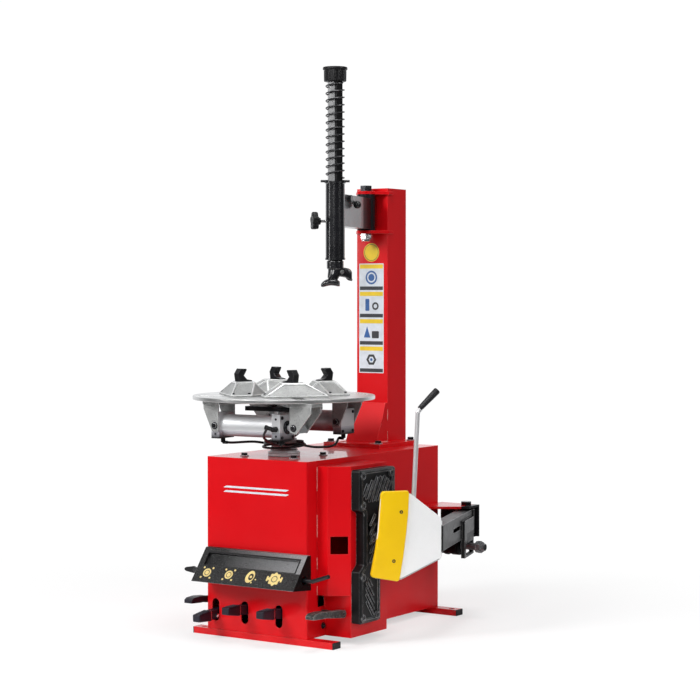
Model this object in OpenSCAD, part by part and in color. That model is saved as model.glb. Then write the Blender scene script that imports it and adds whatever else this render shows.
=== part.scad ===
// Tyre changer: cabinet with a clamping turntable, a mounting column and a bead breaker.
// Origin: turntable axis at floor level. +X right of the operator, +Y to the back, +Z up. Millimetres.

/* [Cabinet] */
// Width of the cabinet
cab_w = 383; // [370:1:400]
// Depth of the cabinet
cab_d = 768; // [760:1:780]
// Height of the cabinet top above the floor
cab_top = 560; // [560:1:562]
// Distance from the turntable axis to the cabinet front
cab_front_gap = 148; // [146:1:150]
// Thickness of the sheet metal
sheet = 3; // [2:0.5:3]
// Height of the flat tubes that the cabinet stands on
foot_h = 20; // [20:1:24]
// Depth of one foot tube
foot_d = 41; // [38:1:46]

/* [Anchor slots] */
// Distance between anchor slots across the machine
anchor_x = 474; // [470:1:478]
// Distance between anchor slots from front to back
anchor_y = 724; // [722:1:726]
// Width of an anchor slot
anchor_w = 14; // [12:1:16]
// End-to-end length of an anchor slot
anchor_l = 22; // [20:1:26]

/* [Turntable] */
// Radius of the turntable disc
disc_r = 286; // [280:1:300]
// Height of the disc's upper face
disc_top = 751; // [748:1:752]
// Thickness of the disc
disc_t = 12; // [10:1:12]
// Width of the radial slot that guides a jaw
jaw_slot_w = 36; // [34:1:40]
// Turn of the table about its axis at rest
table_turn = 3; // [0:1:10]
// Radius at which the clamping hooks stand at rest
jaw_r = 142; // [140:1:146]
// Turn of a hook away from the radial direction
hook_turn = 27; // [20:1:32]
// Width of a hook
hook_w = 22; // [20:1:26]
// Height of one cast jaw cover
cover_h = 44; // [40:1:46]

/* [Clamp cylinders] */
// Distance from the turntable axis to a cylinder's axis
cyl_off = 165; // [164:1:166]
// Height of the cylinders' axes
cyl_z = 663; // [662:1:664]
// Outer radius of a barrel
cyl_r = 34; // [33:1:35]
// Radius of a piston rod
rod_r = 12.5; // [11:0.5:13]
// Side of a square end block
block_w = 80; // [78:1:80]

/* [Column and arm] */
// Width of the column's box section
col_w = 122; // [118:1:126]
// Depth of the column's box section
col_d = 115; // [110:1:116]
// Height of the column's top
col_top = 1419; // [1415:1:1430]
// Distance from the turntable axis back to the column's front face
col_front = 505; // [504:1:506]
// Distance from the turntable axis back to the arm's hinge pin
hinge_y = 468; // [467:1:469]
// Radius of the hinge pin
hinge_r = 14; // [13:0.5:15]
// Sideways place of the hexagon bar
bar_x = 95; // [93:1:97]
// Place of the hexagon bar from the turntable axis towards the back
bar_y = 146; // [145:1:147]
// Width of the hexagon bar across its flats
bar_af = 43; // [41:1:43]
// Height of the hexagon bar's upper end
bar_top = 1741; // [1735:1:1745]
// Outer radius of the sleeve that guides the bar
sleeve_r = 30.5; // [30:0.5:31]

/* [Bead breaker] */
// Sideways place of the breaker arm's pivot
pivot_x = 309; // [308:1:310]
// Place of the breaker arm's pivot towards the back
pivot_y = 602; // [601:1:603]
// Radius of the pivot pin
pivot_r = 12; // [11:0.5:13]
// Place of the breaker rod towards the back
push_y = 552; // [551:1:553]
// Height of the breaker rod's axis
push_z = 240; // [239:1:241]

/* [Pedals] */
// Sideways places of the three front pedals
pedal_x = [-157, -44, 86.5];
// Place of the front pedals' axle towards the back
axle_y = 60; // [58:1:62]
// Height of the front pedals' axle
axle_z = 84; // [83:1:85]
// Radius of the front pedals' axle
axle_r = 8; // [7:0.5:9]

/* [Hidden] */

$fn = 64;
play = 0.05;          // radial play of a shaft in its bore
gap = 0.2;            // gap between plates that slide over each other
cab_x = cab_w / 2;
cab_front = -cab_front_gap;
cab_back = cab_front + cab_d;
top_in = cab_top - sheet;
disc_low = disc_top - disc_t;
anchor_mid_x = 22.75;
anchor_mid_y = 231;
front_foot_y = anchor_mid_y - anchor_y / 2;
rear_foot_y = anchor_mid_y + anchor_y / 2;
foot_left = -241.5;
foot_right = 287;
arm_dx = bar_x;
arm_dy = bar_y - hinge_y;
arm_len = norm([arm_dx, arm_dy]);
arm_turn = atan2(arm_dy, arm_dx);
hex_r = bar_af / 2 / cos(30);

// Every pair of values, one from each list
function grid(xs, ys) = [for (x = xs, y = ys) [x, y]];

// Box between two corners
module block(low, high) {
  translate(low) cube(high - low);
}

// Round bar between two points
module rod(p, q, r) {
  d = q - p;
  translate(p) rotate([0, acos(d[2] / norm(d)), atan2(d[1], d[0])]) cylinder(r = r, h = norm(d));
}

// Slot with round ends along X, centred, standing on z = 0
module slot(l, w, h) {
  linear_extrude(h) {
    square([l - w, w], center = true);
    for (s = [-1, 1]) translate([s * (l - w) / 2, 0]) circle(d = w);
  }
}

// Turns a flat drawing of (y, z) into a plate that stands across X, from x to x + t
module across_x(x, t) {
  translate([x, 0, 0]) rotate([90, 0, 90]) linear_extrude(t) children();
}

// Rectangle with rounded corners, as points
function round_rect(x0, y0, x1, y1, r, n = 6) = [
  for (c = [[x1 - r, y1 - r, 0], [x0 + r, y1 - r, 90], [x0 + r, y0 + r, 180], [x1 - r, y0 + r, 270]],
       i = [0:n])
    [c[0] + r * cos(c[2] + 90 * i / n), c[1] + r * sin(c[2] + 90 * i / n)]
];

// Hexagon-headed bolt with a washer, head up; z = 0 is the clamped face
module bolt(shank_r, shank_l, washer_r) {
  translate([0, 0, 3]) cylinder(r = shank_r * 1.8, h = shank_r * 1.3, $fn = 6);
  cylinder(r = washer_r, h = 3.2);
  translate([0, 0, -shank_l]) cylinder(r = shank_r, h = shank_l + 1);
}

// ---------- Cabinet and what is fixed to it ----------

gear_bolts = grid([-95, 95], [-80, 78]);
base_bolts = grid([-94, 94], [398, 598]);
base_front = 380;
base_t = 14;
pedal_slot_w = 27;
pedal_slot_low = 46;
pedal_slot_high = 116;
side_shaft_y = -66;
right_shaft_z = 95;
left_shaft_z = 98;
side_shaft_r = 7;
neck_r = 30;
panel_y = [-40, 500];
panel_z = [70, 520];
inlet_x = -120;
inlet_z = 150;

module cabinet() color("#d3111b") {
  difference() {
    translate([0, 0, foot_h]) linear_extrude(cab_top - foot_h)
      polygon(round_rect(-cab_x, cab_front, cab_x, cab_back, 6));
    block([-cab_x + sheet, cab_front + sheet, foot_h + sheet], [cab_x - sheet, cab_back - sheet, top_in]);
    for (x = pedal_x) pedal_slot(x);
    // Hub, gearbox bolts and column bolts in the top
    translate([0, 0, top_in - 1]) cylinder(r = 40, h = sheet + 2);
    for (p = concat(gear_bolts, base_bolts)) translate([p[0], p[1], top_in - 1]) cylinder(r = 6.5, h = 5);
    // Side openings: breaker neck, pedal shafts, cam window, service opening
    rod([cab_x - 5, push_y, push_z], [cab_x + 1, push_y, push_z], neck_r + 0.5);
    rod([cab_x - 5, side_shaft_y, right_shaft_z], [cab_x + 1, side_shaft_y, right_shaft_z], side_shaft_r + play);
    rod([-cab_x - 1, side_shaft_y, left_shaft_z], [-cab_x + 5, side_shaft_y, left_shaft_z], side_shaft_r + play);
    block([cab_x - 5, -90, 112], [cab_x + 1, -54, 148]);
    block([-cab_x - 1, panel_y[0] + 15, panel_z[0] + 15], [-cab_x + 5, panel_y[1] - 15, panel_z[1] - 15]);
    // Air inlet in the back
    rod([inlet_x, cab_back - 5, inlet_z], [inlet_x, cab_back + 1, inlet_z], 9);
  }
}

// Upright slot in the cabinet front for one pedal
module pedal_slot(x) {
  translate([x, cab_front + sheet + 1, (pedal_slot_low + pedal_slot_high) / 2]) rotate([90, 90, 0])
    slot(pedal_slot_high - pedal_slot_low, pedal_slot_w, sheet + 2);
}

module side_panel() color("#c9101a")
  difference() {
    block([-cab_x - 2, panel_y[0], panel_z[0]], [-cab_x, panel_y[1], panel_z[1]]);
    for (p = grid([panel_y[0] + 8, panel_y[1] - 8], [panel_z[0] + 8, panel_z[1] - 8]))
      rod([-cab_x - 3, p[0], p[1]], [-cab_x + 1, p[0], p[1]], 3);
  }

// Flat rectangular tube that lies along X, with an anchor slot near each end
module foot_tube(y) {
  difference() {
    block([foot_left, y - foot_d / 2, 0], [foot_right, y + foot_d / 2, foot_h]);
    block([foot_left - 1, y - foot_d / 2 + sheet, sheet], [foot_right + 1, y + foot_d / 2 - sheet, foot_h - sheet]);
    for (s = [-1, 1]) translate([anchor_mid_x + s * anchor_x / 2, y, -1]) slot(anchor_l, anchor_w, foot_h + 2);
  }
}

module feet() color("#d3111b") {
  for (y = [front_foot_y, rear_foot_y]) foot_tube(y);
}

module foot_caps() color("#15161a")
  for (y = [front_foot_y, rear_foot_y], s = [-1, 1]) {
    x = s < 0 ? foot_left : foot_right;
    block([min(x, x + s * 3), y - foot_d / 2, 0], [max(x, x + s * 3), y + foot_d / 2, foot_h]);
    block([min(x, x - s * 9), y - foot_d / 2 + sheet, sheet],
          [max(x, x - s * 9), y + foot_d / 2 - sheet, foot_h - sheet]);
  }

// ---------- Side housing with the rubber pad ----------

pad_x = cab_x + 95;
pad_t = 35;
housing_low = 150;
housing_top = 544;

module housing_plan(inset) {
  polygon([[cab_x, -94 + inset], [231.5 - inset / 3, -94 + inset], [pad_x - inset, -51 + inset / 3],
           [pad_x - inset, 151 - inset], [cab_x, 151 - inset]]);
}

module side_housing() color("#d3111b") {
  difference() {
    union() {
      translate([0, 0, housing_low]) linear_extrude(housing_top - housing_low) housing_plan(0);
      block([cab_x, -50, foot_h], [pad_x, 151, housing_low + 1]);
    }
    translate([0, 0, housing_low + sheet]) linear_extrude(housing_top - housing_low - 2 * sheet) housing_plan(sheet);
    block([cab_x - 1, -50 + sheet, foot_h - 1], [pad_x - sheet, 151 - sheet, housing_low + sheet + 1]);
    // Square window in the slanted face
    translate([259, -72.5, 304]) rotate([0, 0, 38]) block([-27, -12, -27], [27, 12, 27]);
    for (p = pad_bolts) rod([pad_x - 5, p[0], p[1]], [pad_x + 1, p[0], p[1]], 5.5);
  }
}

pad_bolts = [[-30, 515], [130, 515], [130, 420], [-30, 420], [20, 320], [-30, 200], [50, 200], [-30, 80], [50, 80]];

module pad_outline() {
  polygon([[-47, 63], [67, 63], [67, 222], [72, 242], [72, 398], [150.5, 412], [150.5, 533], [-47, 533],
           [-47, 410], [-22, 400], [-22, 242], [-47, 222]]);
}

// Diagonal raised rib inside a rectangle of the pad: c is the centre, lean the slope
module pad_rib(c, l, lean) {
  translate([pad_x + pad_t - 8, c[0], c[1]]) rotate([lean, 0, 0]) block([0, -l / 2, -4], [5, l / 2, 4]);
}

module side_pad() color("#1c1d1f")
  difference() {
    union() {
      difference() {
        across_x(pad_x, pad_t - 5) pad_outline();
        for (p = pad_bolts) rod([pad_x - 1, p[0], p[1]], [pad_x + pad_t + 1, p[0], p[1]], 5.5);
      }
      difference() {
        across_x(pad_x, pad_t) pad_outline();
        block([pad_x + pad_t - 5, -28, 425], [pad_x + pad_t + 1, 128, 514]);
        block([pad_x + pad_t - 5, -7, 236], [pad_x + pad_t + 1, 57, 404]);
        block([pad_x + pad_t - 5, -28, 82], [pad_x + pad_t + 1, 48, 208]);
        for (p = pad_bolts) rod([pad_x - 1, p[0], p[1]], [pad_x + pad_t + 1, p[0], p[1]], 5.5);
      }
      for (i = [0:3]) pad_rib([2 + 32 * i, 469], 88, 55);
      for (i = [0:2]) pad_rib([10, 176 - 32 * i], 60, -55);
    }
    for (p = pad_bolts) rod([pad_x + pad_t - 14, p[0], p[1]], [pad_x + pad_t + 1, p[0], p[1]], 11);
  }

// ---------- Tool tray on the cabinet front ----------

tray_left = -181;
tray_right = 207;
tray_top = [cab_front - 18, 278];
tray_lip = [cab_front - 93, 180];
tray_wall = 4;
lever_y = cab_front - 36;
lever_z = 206;
lever_r = 6.5;
slope = atan2(tray_top[1] - tray_lip[1], tray_top[0] - tray_lip[0]);

module tray_side(inset) {
  polygon([[cab_front, tray_top[1] - inset], [tray_top[0] + inset / 2, tray_top[1] - inset],
           [tray_lip[0] + 1.7 * inset, tray_lip[1] + inset], [cab_front, tray_lip[1] - 8 + inset]]);
}

// Places a drawing with x across and y down the tray's sloped face, z out of it
module on_slope() {
  translate([0, tray_top[0], tray_top[1]]) rotate([slope, 0, 0]) mirror([0, 1, 0]) children();
}

module tool_tray() color("#2a2b2d") {
  difference() {
    union() {
      difference() {
        across_x(tray_left, tray_right - tray_left) tray_side(0);
        across_x(tray_left + tray_wall, tray_right - tray_left - 2 * tray_wall) tray_side(tray_wall);
      }
      on_slope() block([tray_left + 16, 14, -16], [tray_right - 18, 66, -1]);
    }
    on_slope() block([tray_left + 20, 18, -12], [tray_right - 22, 62, 1]);
    for (x = [tray_left, tray_right]) rod([x - 6, lever_y, lever_z], [x + 6, lever_y, lever_z], 12);
  }
}

// Tyre lever kept in the tray: flattened tip on the left, bent end on the right
module tyre_lever() color("#17181c") {
  rod([-214, lever_y, lever_z], [238, lever_y, lever_z], lever_r);
  translate([238, lever_y, lever_z]) rotate([0, 90, 0]) sphere(r = lever_r + 0.5);
  rod([238, lever_y, lever_z], [302, lever_y - 8, lever_z + 21], lever_r);
  translate([0, lever_y + 2.5, lever_z]) rotate([90, 0, 0]) linear_extrude(5)
    polygon([[-200, -6], [-200, 6], [-214, 11], [-244, 6], [-251, 2], [-251, -3], [-244, -7], [-214, -11]]);
}

// ---------- Drive inside the cabinet ----------

gear_z = 470;
worm_y = 62;
motor_y = 262;
motor_z = 330;
belt_x = 124;
pulley_big = 58;
pulley_small = 27;

module gearbox() color("#5b6064")
  difference() {
    union() {
      block([-78, -80, 425], [78, 96, 515]);
      translate([0, 0, 510]) cylinder(r = 60, h = top_in - 510);
      for (p = gear_bolts) translate([p[0], p[1], top_in - 22]) cylinder(r = 14, h = 22);
      for (s = [-1, 1]) block([-95, s * 79 - 9, top_in - 18], [95, s * 79 + 9, top_in - 6]);
      block([-20, -88, top_in - 30], [20, 88, top_in - 6]);
      rod([78, worm_y, gear_z], [92, worm_y, gear_z], 30);
    }
    translate([0, 0, 447]) cylinder(r = 66, h = 46);
    translate([0, 0, 430]) cylinder(r = 22 + play, h = 200);
    rod([-70, worm_y, gear_z], [70, worm_y, gear_z], 22);
    rod([69, worm_y, gear_z], [93, worm_y, gear_z], 10 + play);
    for (p = gear_bolts) translate([p[0], p[1], top_in - 20]) cylinder(r = 6, h = 30);
  }

module hub_flange() color("#c9cbcc")
  difference() {
    union() {
      translate([0, 0, cab_top]) cylinder(r = 50.5, h = 14);
      translate([0, 0, cab_top + 14]) cylinder(r = 43, h = 8);
      translate([0, 0, top_in]) cylinder(r = 39.8, h = sheet);
    }
    translate([0, 0, top_in - 1]) cylinder(r = 22 + play, h = 60);
  }

module motor() color("#3c4a5a")
  difference() {
    union() {
      rod([-110, motor_y, motor_z], [88, motor_y, motor_z], 62);
      rod([88, motor_y, motor_z], [96, motor_y, motor_z], 68);
      block([-60, motor_y - 30, motor_z + 50], [30, motor_y + 30, motor_z + 84]);
      for (a = [0:15:345]) rotate_about_motor(a) block([-95, -1.5, 60], [75, 1.5, 68]);
      for (x = [-84, 64]) block([x - 4, motor_y - 40, motor_z], [x + 4, motor_y + 40, top_in]);
    }
    rod([-90, motor_y, motor_z], [84, motor_y, motor_z], 50);
    rod([83, motor_y, motor_z], [97, motor_y, motor_z], 9 + play);
  }

module rotate_about_motor(a) {
  translate([0, motor_y, motor_z]) rotate([a, 0, 0]) children();
}

// Pulley with a V groove, axis along X, centred on the belt plane
module pulley(r) {
  rotate([0, 90, 0]) rotate_extrude()
    polygon([[0, -11], [r + 4, -11], [r + 4, -8], [r - 6, -3.5], [r - 6, 3.5], [r + 4, 8], [r + 4, 11], [0, 11]]);
}

// Centre line of the belt as points (y, z): two arcs joined by straight runs
belt_dy = motor_y - worm_y;
belt_dz = motor_z - gear_z;
belt_turn = atan2(belt_dz, belt_dy);
belt_lean = acos((pulley_big - pulley_small) / norm([belt_dy, belt_dz]));
function belt_arc(c, r, from, to, n = 20) =
  [for (i = [0:n]) let (a = from + (to - from) * i / n) [c[0] + r * cos(a), c[1] + r * sin(a)]];
function belt_line(extra) = concat(
  belt_arc([worm_y, gear_z], pulley_big + extra, belt_turn + belt_lean, belt_turn + 360 - belt_lean),
  belt_arc([motor_y, motor_z], pulley_small + extra, belt_turn - belt_lean, belt_turn + belt_lean));

module drive_belt() color("#17181a")
  across_x(belt_x - 3, 6)
    difference() {
      polygon(belt_line(4));
      polygon(belt_line(-3.5));
    }

module worm_shaft() color("#a9abad") {
  rod([-66, worm_y, gear_z], [belt_x + 14, worm_y, gear_z], 10);
  difference() {
    rod([-46, worm_y, gear_z], [46, worm_y, gear_z], 12.5);
    for (i = [0:10]) translate([-42 + 8 * i, worm_y, gear_z]) rotate([0, 90, 0]) rotate_extrude()
      translate([11, 0]) square([3, 3]);
  }
  translate([belt_x, worm_y, gear_z]) pulley(pulley_big);
}

module motor_rotor() color("#b2b4b6") {
  rod([-80, motor_y, motor_z], [belt_x + 14, motor_y, motor_z], 9);
  rod([-70, motor_y, motor_z], [70, motor_y, motor_z], 46);
  translate([belt_x, motor_y, motor_z]) pulley(pulley_small);
}

module worm_wheel() color("#b5813c")
  difference() {
    translate([0, 0, gear_z - 12]) linear_extrude(24)
      polygon([for (i = [0:239]) let (r = (i % 4 < 2) ? 49 : 45.5) [r * cos(1.5 * i), r * sin(1.5 * i)]]);
    translate([0, 0, gear_z - 13]) cylinder(r = 22, h = 26);
  }

module drive_shaft() color("#bfc1c3") {
  translate([0, 0, 436]) cylinder(r = 22, h = disc_top - 436);
  translate([0, 0, disc_low - 17]) cylinder(r = 60, h = 17);
}

// ---------- Turntable ----------

module on_table() {
  rotate([0, 0, table_turn]) children();
}

module turntable_disc() color("#b9bcbe")
  on_table() difference() {
    translate([0, 0, disc_low]) cylinder(r = disc_r, h = disc_t, $fn = 128);
    translate([0, 0, disc_low - 1]) cylinder(r = 22, h = disc_t + 2);
    for (k = [0:3]) rotate([0, 0, 45 + 90 * k])
      block([80, -jaw_slot_w / 2, disc_low - 1], [disc_r - 12, jaw_slot_w / 2, disc_top + 1]);
  }

module rotary_union() color("#cfd1d2")
  difference() {
    union() {
      translate([0, 0, cab_top + 26]) cylinder(r = 40, h = 30);
      translate([0, 0, cab_top + 56]) cylinder(r = 34, h = 60);
    }
    translate([0, 0, cab_top]) cylinder(r = 22, h = 130);
  }

// Hose ring about the rotary union with two stub ends
module table_hoses() color("#141518") {
  translate([0, 0, cab_top + 39]) rotate_extrude() translate([62, 0]) circle(r = 3.2, $fn = 24);
  for (a = [20, 200]) rotate([0, 0, a]) rod([45, 0, cab_top + 46], [62, 0, cab_top + 39], 5);
}

plate_z = 704;

module link_plate() color("#191a1d")
  on_table() difference() {
    translate([0, 0, plate_z]) linear_extrude(14) square(176, center = true);
    translate([0, 0, plate_z - 1]) cylinder(r = 36, h = 16);
    for (p = grid([-72, 72], [-72, 72])) translate([p[0], p[1], plate_z - 1]) cylinder(r = 7, h = 16);
  }

// Cast cover over one jaw, along +X
module jaw_cover() {
  z = disc_top + gap;
  hull() {
    translate([0, 0, z]) linear_extrude(5) polygon([[60, -38], [122, -100], [188, -100], [188, 100], [122, 100], [60, 38]]);
    translate([0, 0, z + cover_h - 1]) linear_extrude(1) polygon([[100, -34], [158, -34], [158, 34], [100, 34]]);
  }
}

// Slide through the disc's slot, with its strip below the disc
module jaw_carriage() {
  block([98, -jaw_slot_w / 2 + gap, disc_low - gap - 1], [182, jaw_slot_w / 2 - gap, disc_top + gap + 1]);
  block([96, -44, disc_low - gap - 12], [246, 44, disc_low - gap]);
}

// Cheeks for a cylinder's end, about a pin at x, drawn for the front cylinder
module cheeks(x0, x1, lean, pin_x, half_gap) {
  low = cyl_z - 18;
  for (s = [-1, 1]) {
    y = -cyl_off + s * (half_gap + 2.5);
    translate([0, y + 2.5, 0]) rotate([90, 0, 0]) linear_extrude(5) difference() {
      polygon(lean < 0
        ? [[x0, disc_low - 8], [x1, disc_low - 8], [x1, low], [x1 - 24, low], [x0, disc_low - 24]]
        : [[x0, disc_low - 8], [x1, disc_low - 8], [x1, disc_low - 30], [x0 + 24, low], [x0, low + 6]]);
      translate([pin_x, cyl_z]) circle(r = 8);
    }
  }
  block([x0 - 3, -cyl_off - half_gap - 5, disc_low - gap - 12], [x1 + 3, -cyl_off + half_gap + 5, disc_low - gap]);
}

barrel_pin_x = -118;
rod_pin_x = 160;

// Slide at the barrel end of a cylinder: the front-left jaw, or the rear-right one after half a turn
module slide_at_barrel() {
  rotate([0, 0, 225]) {
    jaw_cover();
    jaw_carriage();
  }
  cheeks(-160, -104, -1, barrel_pin_x, block_w / 2 + 1);
}

// Slide at the rod end of a cylinder
module slide_at_rod() {
  rotate([0, 0, 315]) {
    jaw_cover();
    jaw_carriage();
  }
  cheeks(146, 222, 1, rod_pin_x, 26);
}

module jaw_slide_1() color("#a7aaac") on_table() slide_at_barrel();
module jaw_slide_2() color("#a7aaac") on_table() slide_at_rod();
module jaw_slide_3() color("#a7aaac") on_table() rotate([0, 0, 180]) slide_at_barrel();
module jaw_slide_4() color("#a7aaac") on_table() rotate([0, 0, 180]) slide_at_rod();

// Hooked clamping jaw that stands askew on a cover: its tooth faces the rim
module jaw_hook(turn) {
  z = disc_top + gap + cover_h;
  on_table() rotate([0, 0, turn]) translate([jaw_r, 0, z]) rotate([90, 0, hook_turn]) translate([0, 0, -hook_w / 2])
    linear_extrude(hook_w)
      polygon([[-42, 0], [9, 0], [13, 24], [2, 40], [-20, 39], [-21, 35], [-10, 18], [-22, 6], [-42, 3]]);
}

module jaw_hook_1() color("#16171a") jaw_hook(225);
module jaw_hook_2() color("#16171a") jaw_hook(315);
module jaw_hook_3() color("#16171a") jaw_hook(45);
module jaw_hook_4() color("#16171a") jaw_hook(135);

barrel_x = [-134, 88];
block_t = 30;

// Air cylinder barrel with two square end blocks, trunnions and an elbow fitting
module clamp_barrel() {
  difference() {
    union() {
      rod([barrel_x[0], -cyl_off, cyl_z], [barrel_x[1], -cyl_off, cyl_z], cyl_r);
      for (x = [barrel_x[0], barrel_x[1]])
        block([x, -cyl_off - block_w / 2, cyl_z - block_w / 2], [x + block_t, -cyl_off + block_w / 2, cyl_z + block_w / 2]);
      rod([barrel_pin_x, -cyl_off - block_w / 2 - 9, cyl_z], [barrel_pin_x, -cyl_off + block_w / 2 + 9, cyl_z], 7.95);
      rod([barrel_pin_x, -cyl_off, cyl_z - block_w / 2 - 14], [barrel_pin_x, -cyl_off, cyl_z - 30], 7);
      rod([barrel_pin_x, -cyl_off, cyl_z - block_w / 2 - 14], [barrel_pin_x + 16, -cyl_off, cyl_z - block_w / 2 - 14], 5);
    }
    rod([barrel_x[0] + block_t - 8, -cyl_off, cyl_z], [barrel_x[1] + 5, -cyl_off, cyl_z], 28);
    rod([barrel_x[1], -cyl_off, cyl_z], [barrel_x[1] + block_t + 1, -cyl_off, cyl_z], rod_r + play);
  }
}

// Piston, rod and eye block of one air cylinder
module clamp_rod() {
  rod([-88, -cyl_off, cyl_z], [-68, -cyl_off, cyl_z], 28 - play);
  rod([-70, -cyl_off, cyl_z], [rod_pin_x - 15, -cyl_off, cyl_z], rod_r);
  difference() {
    block([rod_pin_x - 17, -cyl_off - 24, cyl_z - 15], [rod_pin_x + 17, -cyl_off + 24, cyl_z + 15]);
    rod([rod_pin_x, -cyl_off - 30, cyl_z], [rod_pin_x, -cyl_off + 30, cyl_z], 5);
  }
  rod([rod_pin_x, -cyl_off - 35, cyl_z], [rod_pin_x, -cyl_off + 35, cyl_z], 7.95);
}

module clamp_barrel_1() color("#c7c9cb") on_table() clamp_barrel();
module clamp_rod_1() color("#d9dbdc") on_table() clamp_rod();
module clamp_barrel_2() color("#c7c9cb") on_table() rotate([0, 0, 180]) clamp_barrel();
module clamp_rod_2() color("#d9dbdc") on_table() rotate([0, 0, 180]) clamp_rod();

// ---------- Column, arm and mounting tool ----------

base_z = cab_top + base_t;
plate_low = 1268;
plate_high = 1398;
plate_t = 10;
gusset_top = 704;

module column() color("#d3111b") {
  difference() {
    union() {
      block([-112, base_front, cab_top], [112, cab_back - 4, base_z]);
      block([-col_w / 2, col_front, base_z - 1], [col_w / 2, col_front + col_d, col_top]);
      // Foot box in front of the column: two gussets and a leaning front plate
      across_x(-col_w / 2, 8) gusset();
      across_x(col_w / 2 - 8, 8) gusset();
      across_x(-col_w / 2, col_w) polygon([[436, base_z - 1], [444, base_z - 1], [483, 656], [500, gusset_top],
                                           [492, gusset_top], [475, 656]]);
      hinge_plate(plate_low);
      hinge_plate(plate_high);
    }
    block([-col_w / 2 + 5, col_front + 5, cab_top - 1], [col_w / 2 - 5, col_front + col_d - 5, col_top - 5]);
    translate([0, hinge_y, plate_low - 1]) cylinder(r = hinge_r + play, h = 160);
    for (p = base_bolts) translate([p[0], p[1], cab_top - 1]) cylinder(r = 6.5, h = base_t + 2);
  }
}

module gusset() {
  polygon([[436, base_z - 1], [col_front + 1, base_z - 1], [col_front + 1, gusset_top], [492, gusset_top], [475, 656]]);
}

// Plate that carries one end of the hinge pin
module hinge_plate(z) {
  translate([0, 0, z]) linear_extrude(plate_t) difference() {
    union() {
      polygon([[-30, hinge_y], [30, hinge_y], [66, col_front + 2], [66, col_front + 30], [-66, col_front + 30],
               [-66, col_front + 2]]);
      translate([0, hinge_y]) circle(r = 31);
    }
    translate([-col_w / 2, col_front]) square([col_w, 60]);
  }
}

// Bolts of the gearbox and of the column's base plate
module frame_bolts() color("#1b1c1f") {
  for (p = gear_bolts) translate([p[0], p[1], cab_top]) bolt(5.9, 18, 14);
  for (p = base_bolts) translate([p[0], p[1], base_z]) {
    bolt(6.4, base_t + sheet + 4, 14);
    translate([0, 0, -base_t - sheet - 9]) cylinder(r = 11, h = 9, $fn = 6);
  }
}

// Pins of the swing arm and of the breaker arm, each with a hexagon head above and a nut below
module pivot_pins() color("#2b2c30") {
  translate([0, hinge_y, plate_low - 26]) cylinder(r = hinge_r, h = plate_high + plate_t + 2 - plate_low + 26);
  translate([0, hinge_y, plate_high + plate_t]) cylinder(r = 21, h = 19, $fn = 6);
  translate([0, hinge_y, plate_low - 19]) cylinder(r = 20, h = 19, $fn = 6);
  translate([pivot_x, pivot_y, arm_low - 30]) cylinder(r = pivot_r, h = arm_high - arm_low + 48);
  translate([pivot_x, pivot_y, arm_high + 13]) cylinder(r = 19, h = 12, $fn = 6);
  translate([pivot_x, pivot_y, arm_low - 26]) cylinder(r = 19, h = 13, $fn = 6);
}

// Drawing place with +X along the arm, from the hinge pin to the bar
module on_arm() {
  translate([0, hinge_y, 0]) rotate([0, 0, arm_turn]) children();
}

module swing_arm() color("#6f7276")
  difference() {
    union() {
      translate([0, hinge_y, plate_low + plate_t + 0.5]) cylinder(r = 30, h = plate_high - plate_low - plate_t - 1);
      on_arm() block([0, -23, 1282], [arm_len, 23, 1384]);
    }
    on_arm() {
      translate([arm_len, 0, 1200]) cylinder(r = sleeve_r + 0.02, h = 250);
      block([40, -18, 1287], [arm_len, 18, 1379]);
    }
    translate([0, hinge_y, 1200]) cylinder(r = hinge_r + play, h = 250);
    lever_axis(18) cylinder(r = 5 + play, h = 12);
  }

// Place on the arm's right flank where the lock lever turns, with +Z out of the flank
module lever_axis(out) {
  on_arm() translate([arm_len - 62, out, 1372]) rotate([-90, 0, 0]) children();
}

module lock_lever() color("#111214") {
  lever_axis(14) cylinder(r = 5, h = 14);
  lever_axis(24) {
    cylinder(r = 11, h = 12);
    translate([0, 0, 4]) rotate([0, 0, 160]) block([0, -5, 0], [46, 5, 6]);
    rotate([0, 0, 160]) translate([52, 0, 15]) sphere(r = 13);
  }
}

knob_turn = arm_turn + 300;
knob_z = 1297;
sleeve_top = 1416;
side_dir = [0.83, 0.557, 0];

// Place at the bar's axis with +Z along the star knob's screw
module on_knob() {
  translate([bar_x, bar_y, knob_z]) rotate([0, 90, knob_turn]) children();
}

// Black sleeve on the arm's end, and the lock plate with its cross pin on top of it
module arm_sleeve() color("#101114")
  difference() {
    union() {
      translate([bar_x, bar_y, 1182]) cylinder(r = sleeve_r, h = sleeve_top - 1182);
      translate([bar_x, bar_y, 1175]) cylinder(r = sleeve_r + 1.5, h = 7);
      translate([bar_x, bar_y, sleeve_top + 1]) cylinder(r = 34, h = 6);
      rod([bar_x, bar_y, sleeve_top + 8] - 46 * side_dir, [bar_x, bar_y, sleeve_top + 8] + 46 * side_dir, 4);
    }
    bar_prism(1170, 1440, hex_r + play);
    on_knob() cylinder(r = 5 + play, h = 60);
  }

// Hexagonal prism about the bar's axis, a flat square to the arm
module bar_prism(low, high, r) {
  translate([bar_x, bar_y, low]) rotate([0, 0, arm_turn + 30]) cylinder(r = r, h = high - low, $fn = 6);
}

// Star knob with five lobes on a clamping screw
module star_knob() color("#111214")
  on_knob() {
    translate([0, 0, bar_af / 2 + 2.5]) cylinder(r = 5, h = 30);
    translate([0, 0, 50]) cylinder(r = 11, h = 16);
    translate([0, 0, 58]) cylinder(r = 21, h = 18);
    for (k = [0:4]) rotate([0, 0, 72 * k]) translate([21, 0, 58]) cylinder(r = 9, h = 18);
  }

module hex_bar() color("#3a3c40") bar_prism(1160, bar_top, hex_r);

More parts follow.
